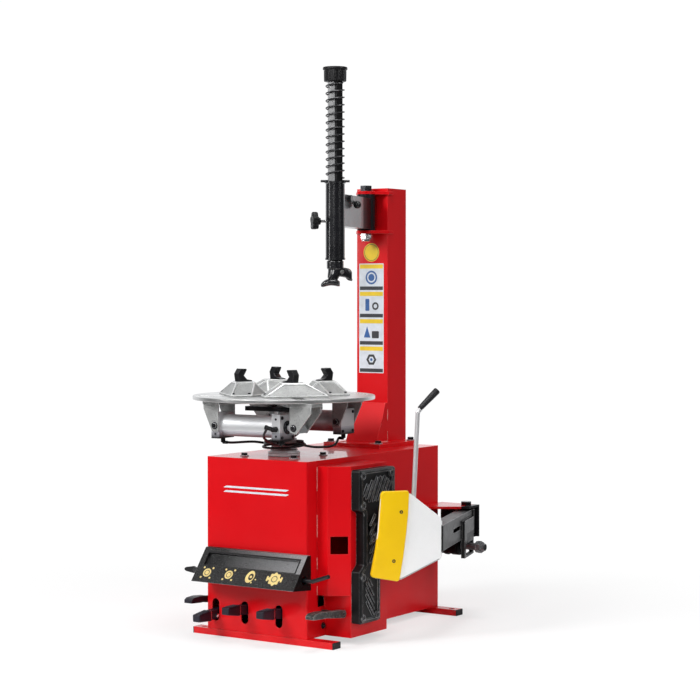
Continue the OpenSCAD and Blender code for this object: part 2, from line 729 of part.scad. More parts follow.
module bar_cap() color("#131416")
  difference() {
    union() {
      translate([bar_x, bar_y, bar_top - 4]) cylinder(r = 34, h = 40);
      translate([bar_x, bar_y, bar_top + 34]) cylinder(r = 39, h = 8);
      for (k = [0:11]) translate([bar_x, bar_y, bar_top - 4]) rotate([0, 0, 30 * k]) block([32, -3, 0], [37, 3, 38]);
    }
    bar_prism(1700, bar_top, hex_r);
  }

spring_low = 1430;
spring_high = bar_top - 6;
coils = 13;
spring_r = 28.5;
wire_r = 2.4;
steps = 16;
wire_sides = 6;

// Points of the spring's wire, one ring for each step along the coil
function coil_ring(i) = let (a = 360 * i / steps, rise = (spring_high - spring_low - 2 * wire_r) / coils)
  [for (j = [0:wire_sides - 1]) let (b = 360 * j / wire_sides, r = spring_r + wire_r * cos(b))
    [r * cos(a), r * sin(a), wire_r + rise * i / steps + wire_r * sin(b)]];

module return_spring() color("#15161a") {
  n = coils * steps;
  side = [for (i = [0:n - 1], j = [0:wire_sides - 1]) let (k = (j + 1) % wire_sides)
    [i * wire_sides + j, (i + 1) * wire_sides + j, (i + 1) * wire_sides + k, i * wire_sides + k]];
  near = [[for (j = [0:wire_sides - 1]) j]];
  far = [[for (j = [wire_sides - 1:-1:0]) n * wire_sides + j]];
  translate([bar_x, bar_y, spring_low])
    polyhedron([for (i = [0:n]) each coil_ring(i)], concat(side, near, far));
}

// Mounting tool below the bar: collar, bent neck, round foot to the left, finger block to the right
module mount_head() color("#0f1012")
  translate([bar_x, bar_y, 0]) {
    difference() {
      translate([0, 0, 1146]) cylinder(r = 27, h = 26);
      translate([-bar_x, -bar_y, 0]) bar_prism(1160, 1200, hex_r);
    }
    rotate([0, 0, 33]) {
      hull() {
        translate([0, 0, 1147]) cylinder(r = 22, h = 3, $fn = 32);
        translate([-6, -6, 1124]) sphere(r = 13, $fn = 24);
      }
      hull() {
        translate([-26, -8, 1108]) sphere(r = 12, $fn = 24);
        translate([2, -10, 1100]) sphere(r = 12.5, $fn = 24);
        translate([-6, -6, 1122]) sphere(r = 11, $fn = 24);
      }
      hull() {
        translate([6, 4, 1138]) sphere(r = 15, $fn = 24);
        translate([34, 12, 1140]) sphere(r = 12, $fn = 24);
        translate([40, 12, 1122]) sphere(r = 6, $fn = 24);
      }
    }
  }

// ---------- Bead breaker ----------

shovel_pin_x = 455;
shovel_pin_y = 168;
breaker_dx = shovel_pin_x - pivot_x;
breaker_dy = shovel_pin_y - pivot_y;
breaker_len = norm([breaker_dx, breaker_dy]);
breaker_turn = atan2(breaker_dy, breaker_dx);
arm_low = 275;
arm_high = 355;

module breaker_bracket() color("#c9101a")
  difference() {
    union() {
      translate([0, 0, arm_high + 5]) linear_extrude(8)
        polygon([[cab_x, 500], [250, 500], [338, 570], [338, 640], [cab_x, 640]]);
      block([cab_x, 586, arm_low - 13], [330, 640, arm_low - 5]);
      block([cab_x, 633, arm_low - 13], [338, 640, arm_high + 13]);
    }
    translate([pivot_x, pivot_y, 200]) cylinder(r = pivot_r + play, h = 200);
  }

// Drawing place with +X along the breaker arm
module on_breaker() {
  translate([pivot_x, pivot_y, 0]) rotate([0, 0, breaker_turn]) children();
}

module breaker_arm() color("#55585b")
  difference() {
    union() {
      translate([pivot_x, pivot_y, arm_low]) cylinder(r = 28, h = arm_high - arm_low);
      translate([shovel_pin_x, shovel_pin_y, arm_low]) cylinder(r = 25, h = arm_high - arm_low);
      on_breaker() {
        block([15, -22, arm_low], [breaker_len - 11, 22, arm_high]);
        block([30, 19, push_z - 26], [170, 32, arm_high - 20]);
      }
    }
    on_breaker() {
      block([60, -17, arm_low + 5], [breaker_len - 40, 17, arm_high - 5]);
      // Slotted openings: through the flanks, and in the lug for the rod
      block([190, -30, 310], [300, 30, 324]);
      block([44, 18, push_z - 19], [152, 33, push_z + 19]);
    }
    translate([pivot_x, pivot_y, 200]) cylinder(r = pivot_r + play, h = 200);
    translate([shovel_pin_x, shovel_pin_y, 200]) cylinder(r = 10, h = 200);
  }

module breaker_cylinder() color("#17181b")
  difference() {
    union() {
      rod([-120, push_y, push_z], [130, push_y, push_z], 60);
      rod([130, push_y, push_z], [322, push_y, push_z], neck_r);
      rod([292, push_y, push_z], [316, push_y, push_z], neck_r + 2);
    }
    rod([-112, push_y, push_z], [122, push_y, push_z], 54);
    rod([120, push_y, push_z], [323, push_y, push_z], 12 + play);
  }

module breaker_rod() color("#c5c7c9") {
  rod([-90, push_y, push_z], [-66, push_y, push_z], 54 - play);
  rod([-68, push_y, push_z], [410, push_y, push_z], 12);
  translate([384, push_y, push_z]) rotate([0, 90, 0]) cylinder(r = 20, h = 14, $fn = 6);
  rod([380, push_y, push_z], [385, push_y, push_z], 19);
}

blade_root = [483, 146];
blade_dir = atan2(-33 - blade_root[1], 352 - blade_root[0]);

// Drawing place on the blade: x from its root to its edge, y up, z out to the front
module on_blade() {
  translate([blade_root[0], blade_root[1], 0]) rotate([0, 0, blade_dir]) rotate([90, 0, 0]) children();
}

blade_t = 6;
blade_line = [[-5, 256], [-5, 382], [97, 460], [190, 460], [200, 347], [214, 216], [127, 198]];
lug_low = arm_low - 14;
lug_high = arm_high + 1;
lug_t = 13;

module shovel() color("#e4e6e7") {
  difference() {
    union() {
      on_blade() linear_extrude(blade_t)
        polygon(blade_line);
      for (z = [lug_low, lug_high]) {
        translate([shovel_pin_x, shovel_pin_y, z]) cylinder(r = 20, h = lug_t);
        translate([0, 0, z]) linear_extrude(lug_t) polygon([
          [shovel_pin_x + 8, shovel_pin_y + 18], [shovel_pin_x - 19, shovel_pin_y - 5],
          blade_root + 66 * [cos(blade_dir), sin(blade_dir)], blade_root + 3 * [cos(blade_dir), sin(blade_dir)]]);
      }
    }
    translate([shovel_pin_x, shovel_pin_y, 200]) cylinder(r = 10, h = 200);
  }
}

module shovel_pin() color("#23242a") {
  translate([shovel_pin_x, shovel_pin_y, lug_low - 12]) cylinder(r = 10 - play, h = lug_high + lug_t - lug_low + 14);
  translate([shovel_pin_x, shovel_pin_y, lug_high + lug_t + gap]) cylinder(r = 16, h = 9, $fn = 6);
  translate([shovel_pin_x, shovel_pin_y, lug_low - 10 - gap]) cylinder(r = 16, h = 9, $fn = 6);
}

// Plastic cover over the blade's working edge
module blade_cover() color("#f2c012")
  difference() {
    on_blade() translate([0, 0, -5]) linear_extrude(blade_t + 10)
      polygon([[102, 463], [106, 469], [184, 469], [190, 462], [199, 347], [222, 216], [218, 208], [140, 193],
               [133, 197], [122, 265], [113, 330]]);
    on_blade() linear_extrude(blade_t)
      polygon(blade_line);
  }

tube_r = 7;
handle = [[84, 395], [68, 706], [62, 717]];
grip_end = [3, 773];

// Point on the handle's axis behind the blade, at (u, z) of the blade's drawing
function behind(p) = let (back = blade_t + tube_r - 0.5)
  [blade_root[0] + p[0] * cos(blade_dir) + back * sin(blade_dir),
   blade_root[1] + p[0] * sin(blade_dir) - back * cos(blade_dir), p[1]];
grip_from = behind(handle[2]);
grip_to = behind(grip_end);

module breaker_handle() color("#cfd2d4")
  difference() {
    union() {
      rod(behind(handle[0]), behind(handle[1]), tube_r);
      translate(behind(handle[1])) sphere(r = tube_r + 0.6);
      rod(behind(handle[1]), grip_from + 0.3 * (grip_to - grip_from), tube_r);
    }
    on_blade() translate([60, 380, -20]) cube([50, 90, 20 + blade_t]);
  }

module handle_grip() color("#14151a")
  difference() {
    rod(grip_from, grip_to, 11);
    rod(behind(handle[1]), grip_from + 0.3 * (grip_to - grip_from), tube_r);
  }

// ---------- Pedals, valves and services ----------

pedal_up = 1.7;
pedal_down = -4.5;

// Front pedal lever on its boss, with a tapered step at its end
module pedal(x, tilt) {
  translate([x, axle_y, axle_z]) rotate([-tilt, 0, 0]) difference() {
    union() {
      rotate([0, 90, 0]) translate([0, 0, -13]) cylinder(r = 17, h = 26);
      across_x(-11, 22) polygon([[0, -12], [0, 12], [-195, 16], [-246, 17.5], [-304, 15], [-304, -4], [-246, -11], [-195, -14.5]]);
      across_x(-13, 26) polygon([[-248, -13], [-248, 19.5], [-306, 16.5], [-306, -5.5]]);
      across_x(-5, 10) polygon([[0, -12], [0, 10], [38, 6], [38, -6]]);
    }
    rotate([0, 90, 0]) translate([0, 0, -20]) cylinder(r = axle_r + play, h = 40);
  }
}

module pedal_1() color("#17181c") pedal(pedal_x[0], pedal_down);
module pedal_2() color("#17181c") pedal(pedal_x[1], pedal_up);
module pedal_3() color("#17181c") pedal(pedal_x[2], pedal_up);

// Side pedal at x with its step ending at y = tip, its shaft into the cabinet towards -X (side 1) or +X (side -1)
module side_pedal(x, side, z, tip) {
  across_x(x, 20) difference() {
    union() {
      translate([side_shaft_y, z]) circle(r = 12);
      polygon([[side_shaft_y, z - 12], [side_shaft_y, z + 12], [tip + 44, z + 21], [tip + 12, z + 19], [tip + 2, z + 14],
               [tip + 2, z + 7], [tip + 44, z + 4]]);
    }
    translate([side_shaft_y, z]) circle(r = 4);
  }
  across_x(x - 5, 30) polygon([[tip + 84, z + 3], [tip + 84, z + 19], [tip + 44, z + 23], [tip + 10, z + 21], [tip, z + 15],
                               [tip, z + 5], [tip + 44, z + 2]]);
  near = side > 0 ? x : x + 20;
  far = side * (cab_x - 14);
  rod([near + side * 6, side_shaft_y, z], [far, side_shaft_y, z], side_shaft_r);
  block([min(far, far - side * 8), side_shaft_y - 6, z - 26], [max(far, far - side * 8), side_shaft_y + 6, z]);
}

module breaker_pedal() color("#303236") side_pedal(252, 1, right_shaft_z, -234);
module inflation_pedal() color("#1a1b1f") side_pedal(-228, -1, left_shaft_z, -210);

// Axle of the front pedals, held in two stands on the cabinet floor
module pedal_axle() color("#8b8e91")
  difference() {
    union() {
      rod([-182, axle_y, axle_z], [182, axle_y, axle_z], axle_r);
      for (x = [-178, 0, 178]) block([x - 4, axle_y - 22, foot_h + sheet], [x + 4, axle_y + 22, axle_z + 16]);
    }
  }

// Valve bodies behind the pedals' tails
module air_valves() color("#a9adb0")
  for (x = pedal_x) {
    block([x - 16, axle_y + 52, foot_h + sheet], [x + 16, axle_y + 100, 112]);
    translate([x, axle_y + 76, 112]) cylinder(r = 9, h = 14);
  }

// Threaded air port on the back wall
module air_inlet() color("#b08d3f")
  difference() {
    union() {
      rod([inlet_x, cab_back - 20, inlet_z], [inlet_x, cab_back, inlet_z], 8.8);
      translate([inlet_x, cab_back, inlet_z]) rotate([-90, 0, 0]) cylinder(r = 14, h = 16, $fn = 6);
    }
    rod([inlet_x, cab_back - 21, inlet_z], [inlet_x, cab_back + 17, inlet_z], 5.72);
  }

cabinet();
side_panel();
feet();
foot_caps();
side_housing();
side_pad();
tool_tray();
gearbox();
hub_flange();
motor();
drive_belt();
column();
frame_bolts();
pivot_pins();
breaker_bracket();
breaker_cylinder();
pedal_axle();
air_valves();
air_inlet();
drive_shaft();
worm_wheel();
rotary_union();
turntable_disc();
table_hoses();
link_plate();
jaw_slide_1();
jaw_slide_2();
jaw_slide_3();
jaw_slide_4();
jaw_hook_1();
jaw_hook_2();
jaw_hook_3();
jaw_hook_4();
clamp_barrel_1();
clamp_rod_1();
clamp_barrel_2();
clamp_rod_2();
worm_shaft();
motor_rotor();
swing_arm();
arm_sleeve();
star_knob();
lock_lever();
hex_bar();
bar_cap();
return_spring();
mount_head();
breaker_arm();
shovel_pin();
shovel();
blade_cover();
breaker_handle();
handle_grip();
breaker_rod();
pedal_1();
pedal_2();
pedal_3();
breaker_pedal();
inflation_pedal();
tyre_lever();
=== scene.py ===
"""Looks of a tyre changer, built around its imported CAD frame. Metres; +X operator's right, +Y back, +Z up."""
import random
from math import atan2, cos, degrees, pi, radians, sin, tan

import bmesh
import bpy
from mathutils import Matrix, Vector, noise

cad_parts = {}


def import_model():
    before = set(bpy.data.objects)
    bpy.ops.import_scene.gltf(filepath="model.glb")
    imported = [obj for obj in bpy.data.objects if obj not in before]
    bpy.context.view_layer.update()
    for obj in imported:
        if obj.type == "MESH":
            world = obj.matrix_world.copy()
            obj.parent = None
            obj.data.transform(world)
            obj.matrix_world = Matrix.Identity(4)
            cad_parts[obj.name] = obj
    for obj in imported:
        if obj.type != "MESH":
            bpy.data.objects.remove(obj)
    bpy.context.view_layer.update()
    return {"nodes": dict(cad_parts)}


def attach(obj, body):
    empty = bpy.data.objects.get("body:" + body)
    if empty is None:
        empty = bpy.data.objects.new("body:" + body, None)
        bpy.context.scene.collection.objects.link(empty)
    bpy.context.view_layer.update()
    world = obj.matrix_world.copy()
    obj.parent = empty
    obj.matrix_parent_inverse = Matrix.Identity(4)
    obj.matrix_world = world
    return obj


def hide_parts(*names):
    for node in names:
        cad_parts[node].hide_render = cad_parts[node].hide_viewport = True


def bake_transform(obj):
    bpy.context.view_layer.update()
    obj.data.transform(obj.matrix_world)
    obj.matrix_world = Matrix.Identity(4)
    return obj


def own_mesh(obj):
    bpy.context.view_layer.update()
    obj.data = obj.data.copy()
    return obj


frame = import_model()
scene = bpy.context.scene
MM = 0.001


# ---------- Materials ----------

class Shader:
    """Small helper that adds linked nodes to one material or world."""

    def __init__(self, owner, coords="Object"):
        owner.use_nodes = True
        self.tree = owner.node_tree
        self.coords = self.node("ShaderNodeTexCoord").outputs[coords]

    @classmethod
    def material(cls, name):
        mat = bpy.data.materials.new(name)
        made = cls(mat)
        made.mat, made.bsdf = mat, made.tree.nodes["Principled BSDF"]
        return made

    def node(self, kind, inputs=None, **props):
        made = self.tree.nodes.new(kind)
        for key, value in props.items():
            setattr(made, key, value)
        for key, value in (inputs or {}).items():
            self.put(made.inputs[key], value)
        return made

    def put(self, socket, value):
        if isinstance(value, bpy.types.NodeSocket):
            self.tree.links.new(value, socket)
        else:
            socket.default_value = value

    def math(self, op, a, b=0, clamp=False):
        return self.node("ShaderNodeMath", {0: a, 1: b}, operation=op, use_clamp=clamp).outputs[0]

    def noise(self, scale, detail=3, rough=0.55, vector=None):
        made = self.node("ShaderNodeTexNoise", {"Scale": scale, "Detail": detail, "Roughness": rough,
            "Vector": vector or self.coords})
        return made.outputs["Fac"]

    def span(self, value, low, high, to_low, to_high):
        return self.node("ShaderNodeMapRange", {0: value, 1: low, 2: high, 3: to_low, 4: to_high}).outputs[0]

    def mix(self, factor, a, b):
        made = self.node("ShaderNodeMix", data_type="RGBA")
        self.put(made.inputs[0], factor)
        for socket, value in ((made.inputs[6], a), (made.inputs[7], b)):
            self.put(socket, value if isinstance(value, bpy.types.NodeSocket) else rgba(value))
        return made.outputs[2]

    def stretched(self, scale):
        return self.node("ShaderNodeMapping", {"Vector": self.coords, "Scale": scale}).outputs[0]

    def polar(self, centre, radial, turning):
        """Coordinates about a vertical axis, so that streaks run round it."""
        moved = self.node("ShaderNodeVectorMath", {0: self.coords, 1: centre},
            operation="SUBTRACT").outputs[0]
        parts = self.node("ShaderNodeSeparateXYZ", {0: moved}).outputs
        radius = self.math("SQRT", self.math("ADD", self.math("MULTIPLY", parts[0], parts[0]),
            self.math("MULTIPLY", parts[1], parts[1])))
        angle = self.math("ABSOLUTE", self.math("ARCTAN2", parts[1], parts[0]))
        return self.node("ShaderNodeCombineXYZ", {0: self.math("MULTIPLY", radius, radial),
            1: self.math("MULTIPLY", angle, turning), 2: self.math("MULTIPLY", parts[2], radial)}).outputs[0]

    def edges(self, radius):
        """0 on flat faces, towards 1 on sharp edges."""
        rounded = self.node("ShaderNodeBevel", {"Radius": radius}, samples=4).outputs[0]
        plain = self.node("ShaderNodeNewGeometry").outputs["Normal"]
        dot = self.node("ShaderNodeVectorMath", {0: rounded, 1: plain},
            operation="DOT_PRODUCT").outputs["Value"]
        return self.span(dot, 0.995, 0.90, 0, 1)

    def inside(self, low, high):
        """1 inside a box, 0 outside; the box is given in millimetres."""
        parts = self.node("ShaderNodeSeparateXYZ", {0: self.coords}).outputs
        mask = 1
        for axis in range(3):
            for op, limit in (("GREATER_THAN", low[axis]), ("LESS_THAN", high[axis])):
                if abs(limit) < 9000:
                    mask = self.math("MULTIPLY", mask, self.math(op, parts[axis], limit * MM))
        return mask


def rgba(colour):
    return (*colour[:3], 1)


def shade(colour, factor):
    return tuple(min(1, c * factor) for c in colour[:3])


def finish(name, colour, rough=0.4, metal=0, coat=0, mottle=(8, 0.06), grain=(900, 0.15, 0.0003), edge_wear_and_highlight=None,
        rough_vary=0.08, streaks=None, round_axis=None, speckle=None, coat_rough=0.06, spec=0.5, patches=(),
        painted_sheen=None):
    """Procedural finish: mottled colour, fine grain in the bump, uneven roughness, lighter edges that are
    partly wear and partly painted highlight, colour patches (some of them painted shade) and an optional
    painted sheen.
    """
    s = Shader.material(name)
    vector = s.stretched(streaks) if streaks else None
    if round_axis:
        vector = s.polar(*round_axis)
    broad = s.noise(mottle[0], 4)
    tone = s.mix(s.span(broad, 0.3, 0.7, 0, 1), shade(colour, 1 - mottle[1]), shade(colour, 1 + mottle[1]))
    fine = s.noise(1 if vector else grain[0], 4, 0.6, vector)
    if vector:
        tone = s.mix(s.span(fine, 0.35, 0.65, 0, 0.35), tone, shade(colour, 0.8))
    if speckle:
        dots = s.noise(speckle[0], 2, 0.5)
        tone = s.mix(s.span(dots, speckle[1], speckle[1] + 0.08, 0, 1), tone, speckle[2])
    level = s.span(fine, 0.3, 0.7, rough - rough_vary, rough + rough_vary)
    smear = s.noise(mottle[0] * 3.1, 3)
    level = s.math("ADD", level, s.span(smear, 0.3, 0.7, -rough_vary / 2, rough_vary / 2), True)
    # Lighter edges: partly wear, partly a painted highlight of light caught on the edges.
    if edge_wear_and_highlight:
        radius, worn_and_lit_edge, amount = edge_wear_and_highlight
        spots = s.span(s.noise(60, 5), 0.35, 0.6, 0.35, 1)
        mask = s.math("MULTIPLY", s.math("MULTIPLY", s.edges(radius), spots), amount)
        tone = s.mix(mask, tone, worn_and_lit_edge)
    if isinstance(coat, tuple):
        up = s.node("ShaderNodeSeparateXYZ",
            {0: s.node("ShaderNodeNewGeometry").outputs["Normal"]}).outputs[2]
        coat = s.span(up, 0.6, 0.8, *coat)
    # Painted sheen: the colour lightens along x inside a box, towards a lighter colour.
    if painted_sheen:
        low, high, start, end, other = painted_sheen
        part = s.node("ShaderNodeSeparateXYZ", {0: s.coords}).outputs[0]
        tone = s.mix(s.math("MULTIPLY", s.inside(low, high), s.span(part, start * MM, end * MM, 0, 1)), tone,
            s.mix(s.span(s.noise(520, 3), 0.35, 0.65, 0, 1), shade(other, 0.6), shade(other, 1.4)))
    for low, high, other in patches:
        mask = s.inside(low, high)
        tone = s.mix(mask, tone, other)
        # Dark patches also lose most of their gloss; some are black paint, some are painted shade.
        if max(other) < 0.05:
            spec, coat = (s.math("MULTIPLY", part, s.span(mask, 0, 1, 1, 0.25)) for part in (spec, coat))
    bump = s.node("ShaderNodeBump", {"Height": fine, "Strength": grain[1], "Distance": grain[2]})
    values = {"Base Color": tone, "Roughness": level, "Metallic": metal, "Coat Weight": coat,
        "Coat Roughness": coat_rough, "Normal": bump.outputs[0], "Specular IOR Level": spec}
    for key, value in values.items():
        s.put(s.bsdf.inputs[key], value)
    return s.mat


PAINT = (0.67, 0.003, 0.007)
FAR = 9999
# In the red paints below, the bright red edge colour is a painted highlight.
RED = finish("red_powder_coat", PAINT, 0.36, 0, (0.10, 0.55), (3.5, 0.05), (700, 0.12, 0.00025),
    (0.0022, (1, 0.10, 0.09), 0.55), spec=0.17, coat_rough=0.05)
FOOT_RED = finish("red_foot_tubes", PAINT, 0.32, 0, 0.2, (3.5, 0.05), (700, 0.22, 0.00025),
    (0.0022, (1, 0.10, 0.09), 0.55), spec=0.28, coat_rough=0.10, patches=[((-FAR, y - 17.6, -1),
    (FAR, y + 17.6, 17.2), (0.010, 0.008, 0.012)) for y in (-131, 593)])
CRIMSON = finish("red_paint_folded_sheet", shade(PAINT, 0.86), 0.34, 0, 0.12, (4.5, 0.07),
    (600, 0.22, 0.00025), (0.0020, (1, 0.12, 0.08), 0.5), spec=0.20, coat_rough=0.12)
WELD = finish("painted_weld_beads", (0.95, 0.20, 0.18), 0.25, 0, 0.6, (90, 0.5), (500, 0.4, 0.0004))
BLACK_STEEL = finish("blackened_steel", (0.012, 0.012, 0.014), 0.34, 0.35, 0.25, (14, 0.25),
    (500, 0.3, 0.0003), (0.0012, (0.22, 0.22, 0.23), 0.7))
GLOSS_BLACK = finish("gloss_black_enamel", (0.007, 0.007, 0.009), 0.26, 0, 0.7, (9, 0.3), (350, 0.05, 0.0002),
    (0.0012, (0.10, 0.10, 0.11), 0.3), coat_rough=0.12)
PLASTIC = finish("moulded_black_plastic", (0.005, 0.005, 0.006), 0.42, 0, 0, (20, 0.2), (1400, 0.5, 0.0004),
    (0.0012, (0.12, 0.12, 0.12), 0.6), spec=0.28)
TRAY = finish("textured_tray_plastic", (0.0045, 0.0048, 0.0052), 0.36, 0, 0, (16, 0.3), (520, 1, 0.0012),
    (0.0018, (0.34, 0.34, 0.34), 0.8), spec=0.30, rough_vary=0.12, speckle=(420, 0.58, (0.075, 0.076, 0.078)),
    # Painted shade: the right side wall (x above 206.2) is darker and less glossy.
    patches=[((206.2, -FAR, -FAR), (FAR, FAR, FAR), (0.003, 0.003, 0.0035))],
    # Painted sheen: the recess floor lightens towards +X.
    painted_sheen=((-FAR, -FAR, 227), (206, FAR, FAR), -110, 190, (0.23, 0.23, 0.235)))
# The light grey rib and pad edges are painted highlights.
RUBBER = finish("pad_rubber", (0.0035, 0.0035, 0.004), 0.36, 0, 0, (11, 0.25), (650, 0.6, 0.0006),
    (0.0030, (0.62, 0.63, 0.65), 0.8), spec=0.22, rough_vary=0.1)
HOSE = finish("hose_rubber", (0.006, 0.006, 0.007), 0.38, 0, 0, (30, 0.2), (1200, 0.4, 0.0003))
CAST = finish("sand_cast_aluminium", (0.39, 0.395, 0.39), 0.48, 0.65, 0, (26, 0.16), (420, 0.75, 0.0012),
    (0.0030, (0.92, 0.93, 0.93), 0.9), rough_vary=0.12, speckle=(330, 0.60, (0.22, 0.22, 0.22)))
# Lighter, smoother rims of the jaw covers: the lighter colour is a painted highlight on the raised borders.
CAST_RIM_HIGHLIGHT = finish("casting_rims_painted_highlight", (0.78, 0.785, 0.78), 0.36, 0.75, 0, (26, 0.10), (420, 0.5, 0.0006),
    rough_vary=0.1)
PLATE = finish("zinc_plated_steel", (0.56, 0.565, 0.56), 0.36, 0.85, 0, (18, 0.14), (520, 0.45, 0.0005),
    (0.0018, (0.90, 0.90, 0.90), 0.8), rough_vary=0.1, speckle=(240, 0.62, (0.30, 0.30, 0.30)))
# Painted shade: the barrels darken in steps towards their bottom, below z 648.
BARREL = finish("drawn_aluminium_tube", (0.70, 0.705, 0.72), 0.48, 0.55, 0, (8, 0.06), (1, 0.2, 0.0002),
    (0.0010, (0.95, 0.95, 0.95), 0.5), streaks=(3, 900, 900), patches=[((-FAR, -FAR, 0), (FAR, FAR, z),
    (g, g, g * 1.08)) for z, g in ((648, 0.52), (643, 0.40), (638, 0.30), (633, 0.20), (629, 0.08),
    (626, 0.02))])
DISC = finish("turned_steel_disc", (0.64, 0.64, 0.635), 0.34, 0.9, 0, (9, 0.12), (1, 0.15, 0.0002),
    (0.0014, (0.88, 0.88, 0.88), 0.4), round_axis=((0, 0, 0), 700, 2.2))
HUB = finish("turned_hub_aluminium", (0.80, 0.81, 0.83), 0.42, 0.25, 0, (8, 0.06), (1, 0.25, 0.0002),
    (0.0012, (0.95, 0.95, 0.95), 0.6), round_axis=((0, 0, 0), 900, 2),
    patches=[((-FAR, -FAR, z), (FAR, FAR, z + 1.6), (0.16, 0.16, 0.17)) for z in (560, 569, 579, 588)])
HANDLE = finish("bright_handle_tube", (0.90, 0.90, 0.91), 0.32, 0.60, 0.4, (30, 0.05), (500, 0.02, 0.0001),
    rough_vary=0.03)
CHROME = finish("polished_chrome", (0.80, 0.80, 0.81), 0.10, 1, 0, (30, 0.06), (300, 0.06, 0.0002),
    rough_vary=0.04)
STEEL = finish("machined_steel", (0.52, 0.52, 0.52), 0.30, 1, 0, (22, 0.12), (800, 0.25, 0.0003),
    (0.0010, (0.85, 0.85, 0.85), 0.6))
# Painted shade: the arm turns almost black towards the hinge (y above 372).
ARM_GREY = finish("grey_arm_enamel", (0.19, 0.19, 0.195), 0.34, 0.6, 0.3, (7, 0.15), (600, 0.3, 0.0003),
    (0.0018, (0.55, 0.55, 0.56), 0.6), patches=[((-FAR, 372, -FAR), (FAR, FAR, FAR), (0.025, 0.025, 0.028))])
# Its bright edge colour is a painted highlight.
ROD = finish("oiled_push_rod", (0.11, 0.112, 0.118), 0.34, 0.15, 0, (30, 0.3), (500, 0.3, 0.0003),
    (0.0012, (0.9, 0.9, 0.9), 0.7))
# Painted shade: the bar's right facets (x above 106) are much darker.
HEX = finish("ground_hexagon_steel", (0.27, 0.272, 0.275), 0.36, 0.7, 0, (8, 0.06), (1, 0.3, 0.0002),
    (0.0010, (0.42, 0.42, 0.43), 0.6), streaks=(500, 500, 5), patches=[((106, -FAR, -FAR), (FAR, FAR, FAR),
    (0.022, 0.022, 0.023))])
IRON = finish("grey_cast_iron", (0.16, 0.165, 0.17), 0.5, 0.4, 0, (24, 0.2), (380, 0.8, 0.0010),
    (0.0020, (0.35, 0.35, 0.35), 0.6))
MOTOR = finish("blue_grey_motor_paint", (0.045, 0.07, 0.10), 0.38, 0, 0.3, (12, 0.15), (450, 0.4, 0.0005),
    (0.0015, (0.3, 0.32, 0.34), 0.6))
BELT = finish("belt_rubber", (0.012, 0.012, 0.013), 0.6, 0, 0, (40, 0.25), (1500, 0.5, 0.0003))
BRONZE = finish("wheel_bronze", (0.44, 0.24, 0.07), 0.34, 0.95, 0, (20, 0.15), (700, 0.3, 0.0004),
    (0.0012, (0.75, 0.5, 0.2), 0.6))
BRASS = finish("fitting_brass", (0.56, 0.38, 0.10), 0.26, 1, 0, (30, 0.12), (700, 0.2, 0.0002),
    (0.0010, (0.9, 0.7, 0.35), 0.5))
WHITE = finish("white_enamel", (0.99, 0.995, 1), 0.28, 0, 0.3, (5, 0.03), (600, 0.15, 0.0002),
    (0.0012, (0.98, 0.98, 0.98), 0.5))
YELLOW = finish("glossy_yellow_plastic", (0.98, 0.60, 0.003), 0.36, 0, 0.18, (6, 0.06), (380, 0.25, 0.0004),
    (0.0016, (1, 0.72, 0.10), 0.6), spec=0.35)
GRIP = finish("ribbed_grip_rubber", (0.011, 0.011, 0.013), 0.40, 0, 0, (30, 0.2), (900, 0.5, 0.0003),
    (0.0010, (0.10, 0.10, 0.11), 0.5))
PEDAL = finish("moulded_pedal_rubber", (0.010, 0.0075, 0.016), 0.46, 0, 0, (26, 0.3), (700, 0.55, 0.0005),
    (0.0012, (0.14, 0.13, 0.16), 0.7), spec=0.35)
GREY_PEDAL = finish("worn_grey_pedal", (0.040, 0.041, 0.040), 0.42, 0.3, 0, (60, 0.8), (260, 1, 0.0016),
    (0.0030, (0.40, 0.40, 0.39), 0.9), speckle=(130, 0.58, (0.16, 0.16, 0.155)))
# Painted shade: the lower breaker parts (z below 291) are darker and less glossy.
BREAKER = finish("breaker_arm_enamel", (0.006, 0.0062, 0.0066), 0.36, 0, 0, (15, 0.25), (420, 0.5, 0.0006),
    (0.0026, (0.45, 0.45, 0.46), 0.9), spec=0.22, patches=[((150, 480, 0), (FAR, FAR, 291),
    (0.003, 0.003, 0.0035))])
VALVE = finish("valve_aluminium", (0.60, 0.61, 0.62), 0.34, 0.9, 0, (20, 0.1), (700, 0.3, 0.0003),
    (0.0012, (0.85, 0.85, 0.85), 0.5))


def dark_fastener(name, colour, rough, metal, worn_and_lit_edge=0.6, patches=()):
    return finish(name, colour, rough, metal, 0, (40, 0.25), (700, 0.3, 0.0002),
        (0.0010, (0.28, 0.28, 0.30), worn_and_lit_edge), patches=patches)


FASTENER = dark_fastener("black_oxide_fastener", (0.020, 0.020, 0.024), 0.30, 0.7, 0.7)
FRAME_BOLT = dark_fastener("bolts_on_light_washers", (0.020, 0.020, 0.024), 0.28, 0.7,
    patches=[((-FAR, -FAR, 560), (FAR, 300, 563.3), (0.62, 0.62, 0.64)),
    ((-FAR, 300, 574), (FAR, FAR, 577.3), (0.50, 0.50, 0.52))])
HINGE = dark_fastener("hinge_pins_and_nuts", (0.030, 0.030, 0.034), 0.22, 0.9,
    patches=[((-60, 400, 1200), (60, 520, 1268), (0.75, 0.75, 0.76)),
    ((250, 560, 240), (360, 640, 276), (0.60, 0.60, 0.62))])
# Its bright red edge colour is a painted highlight.
BRACKET = finish("bracket_red_above_black_below", shade(PAINT, 0.86), 0.30, 0, 0.4, (4.5, 0.07),
    (600, 0.22, 0.00025), (0.0020, (0.9, 0.12, 0.08), 0.5), patches=[((150, 480, 0), (FAR, FAR, 359.5),
    (0.012, 0.012, 0.014)), ((318, 480, 0), (FAR, FAR, FAR), (0.012, 0.012, 0.014))])

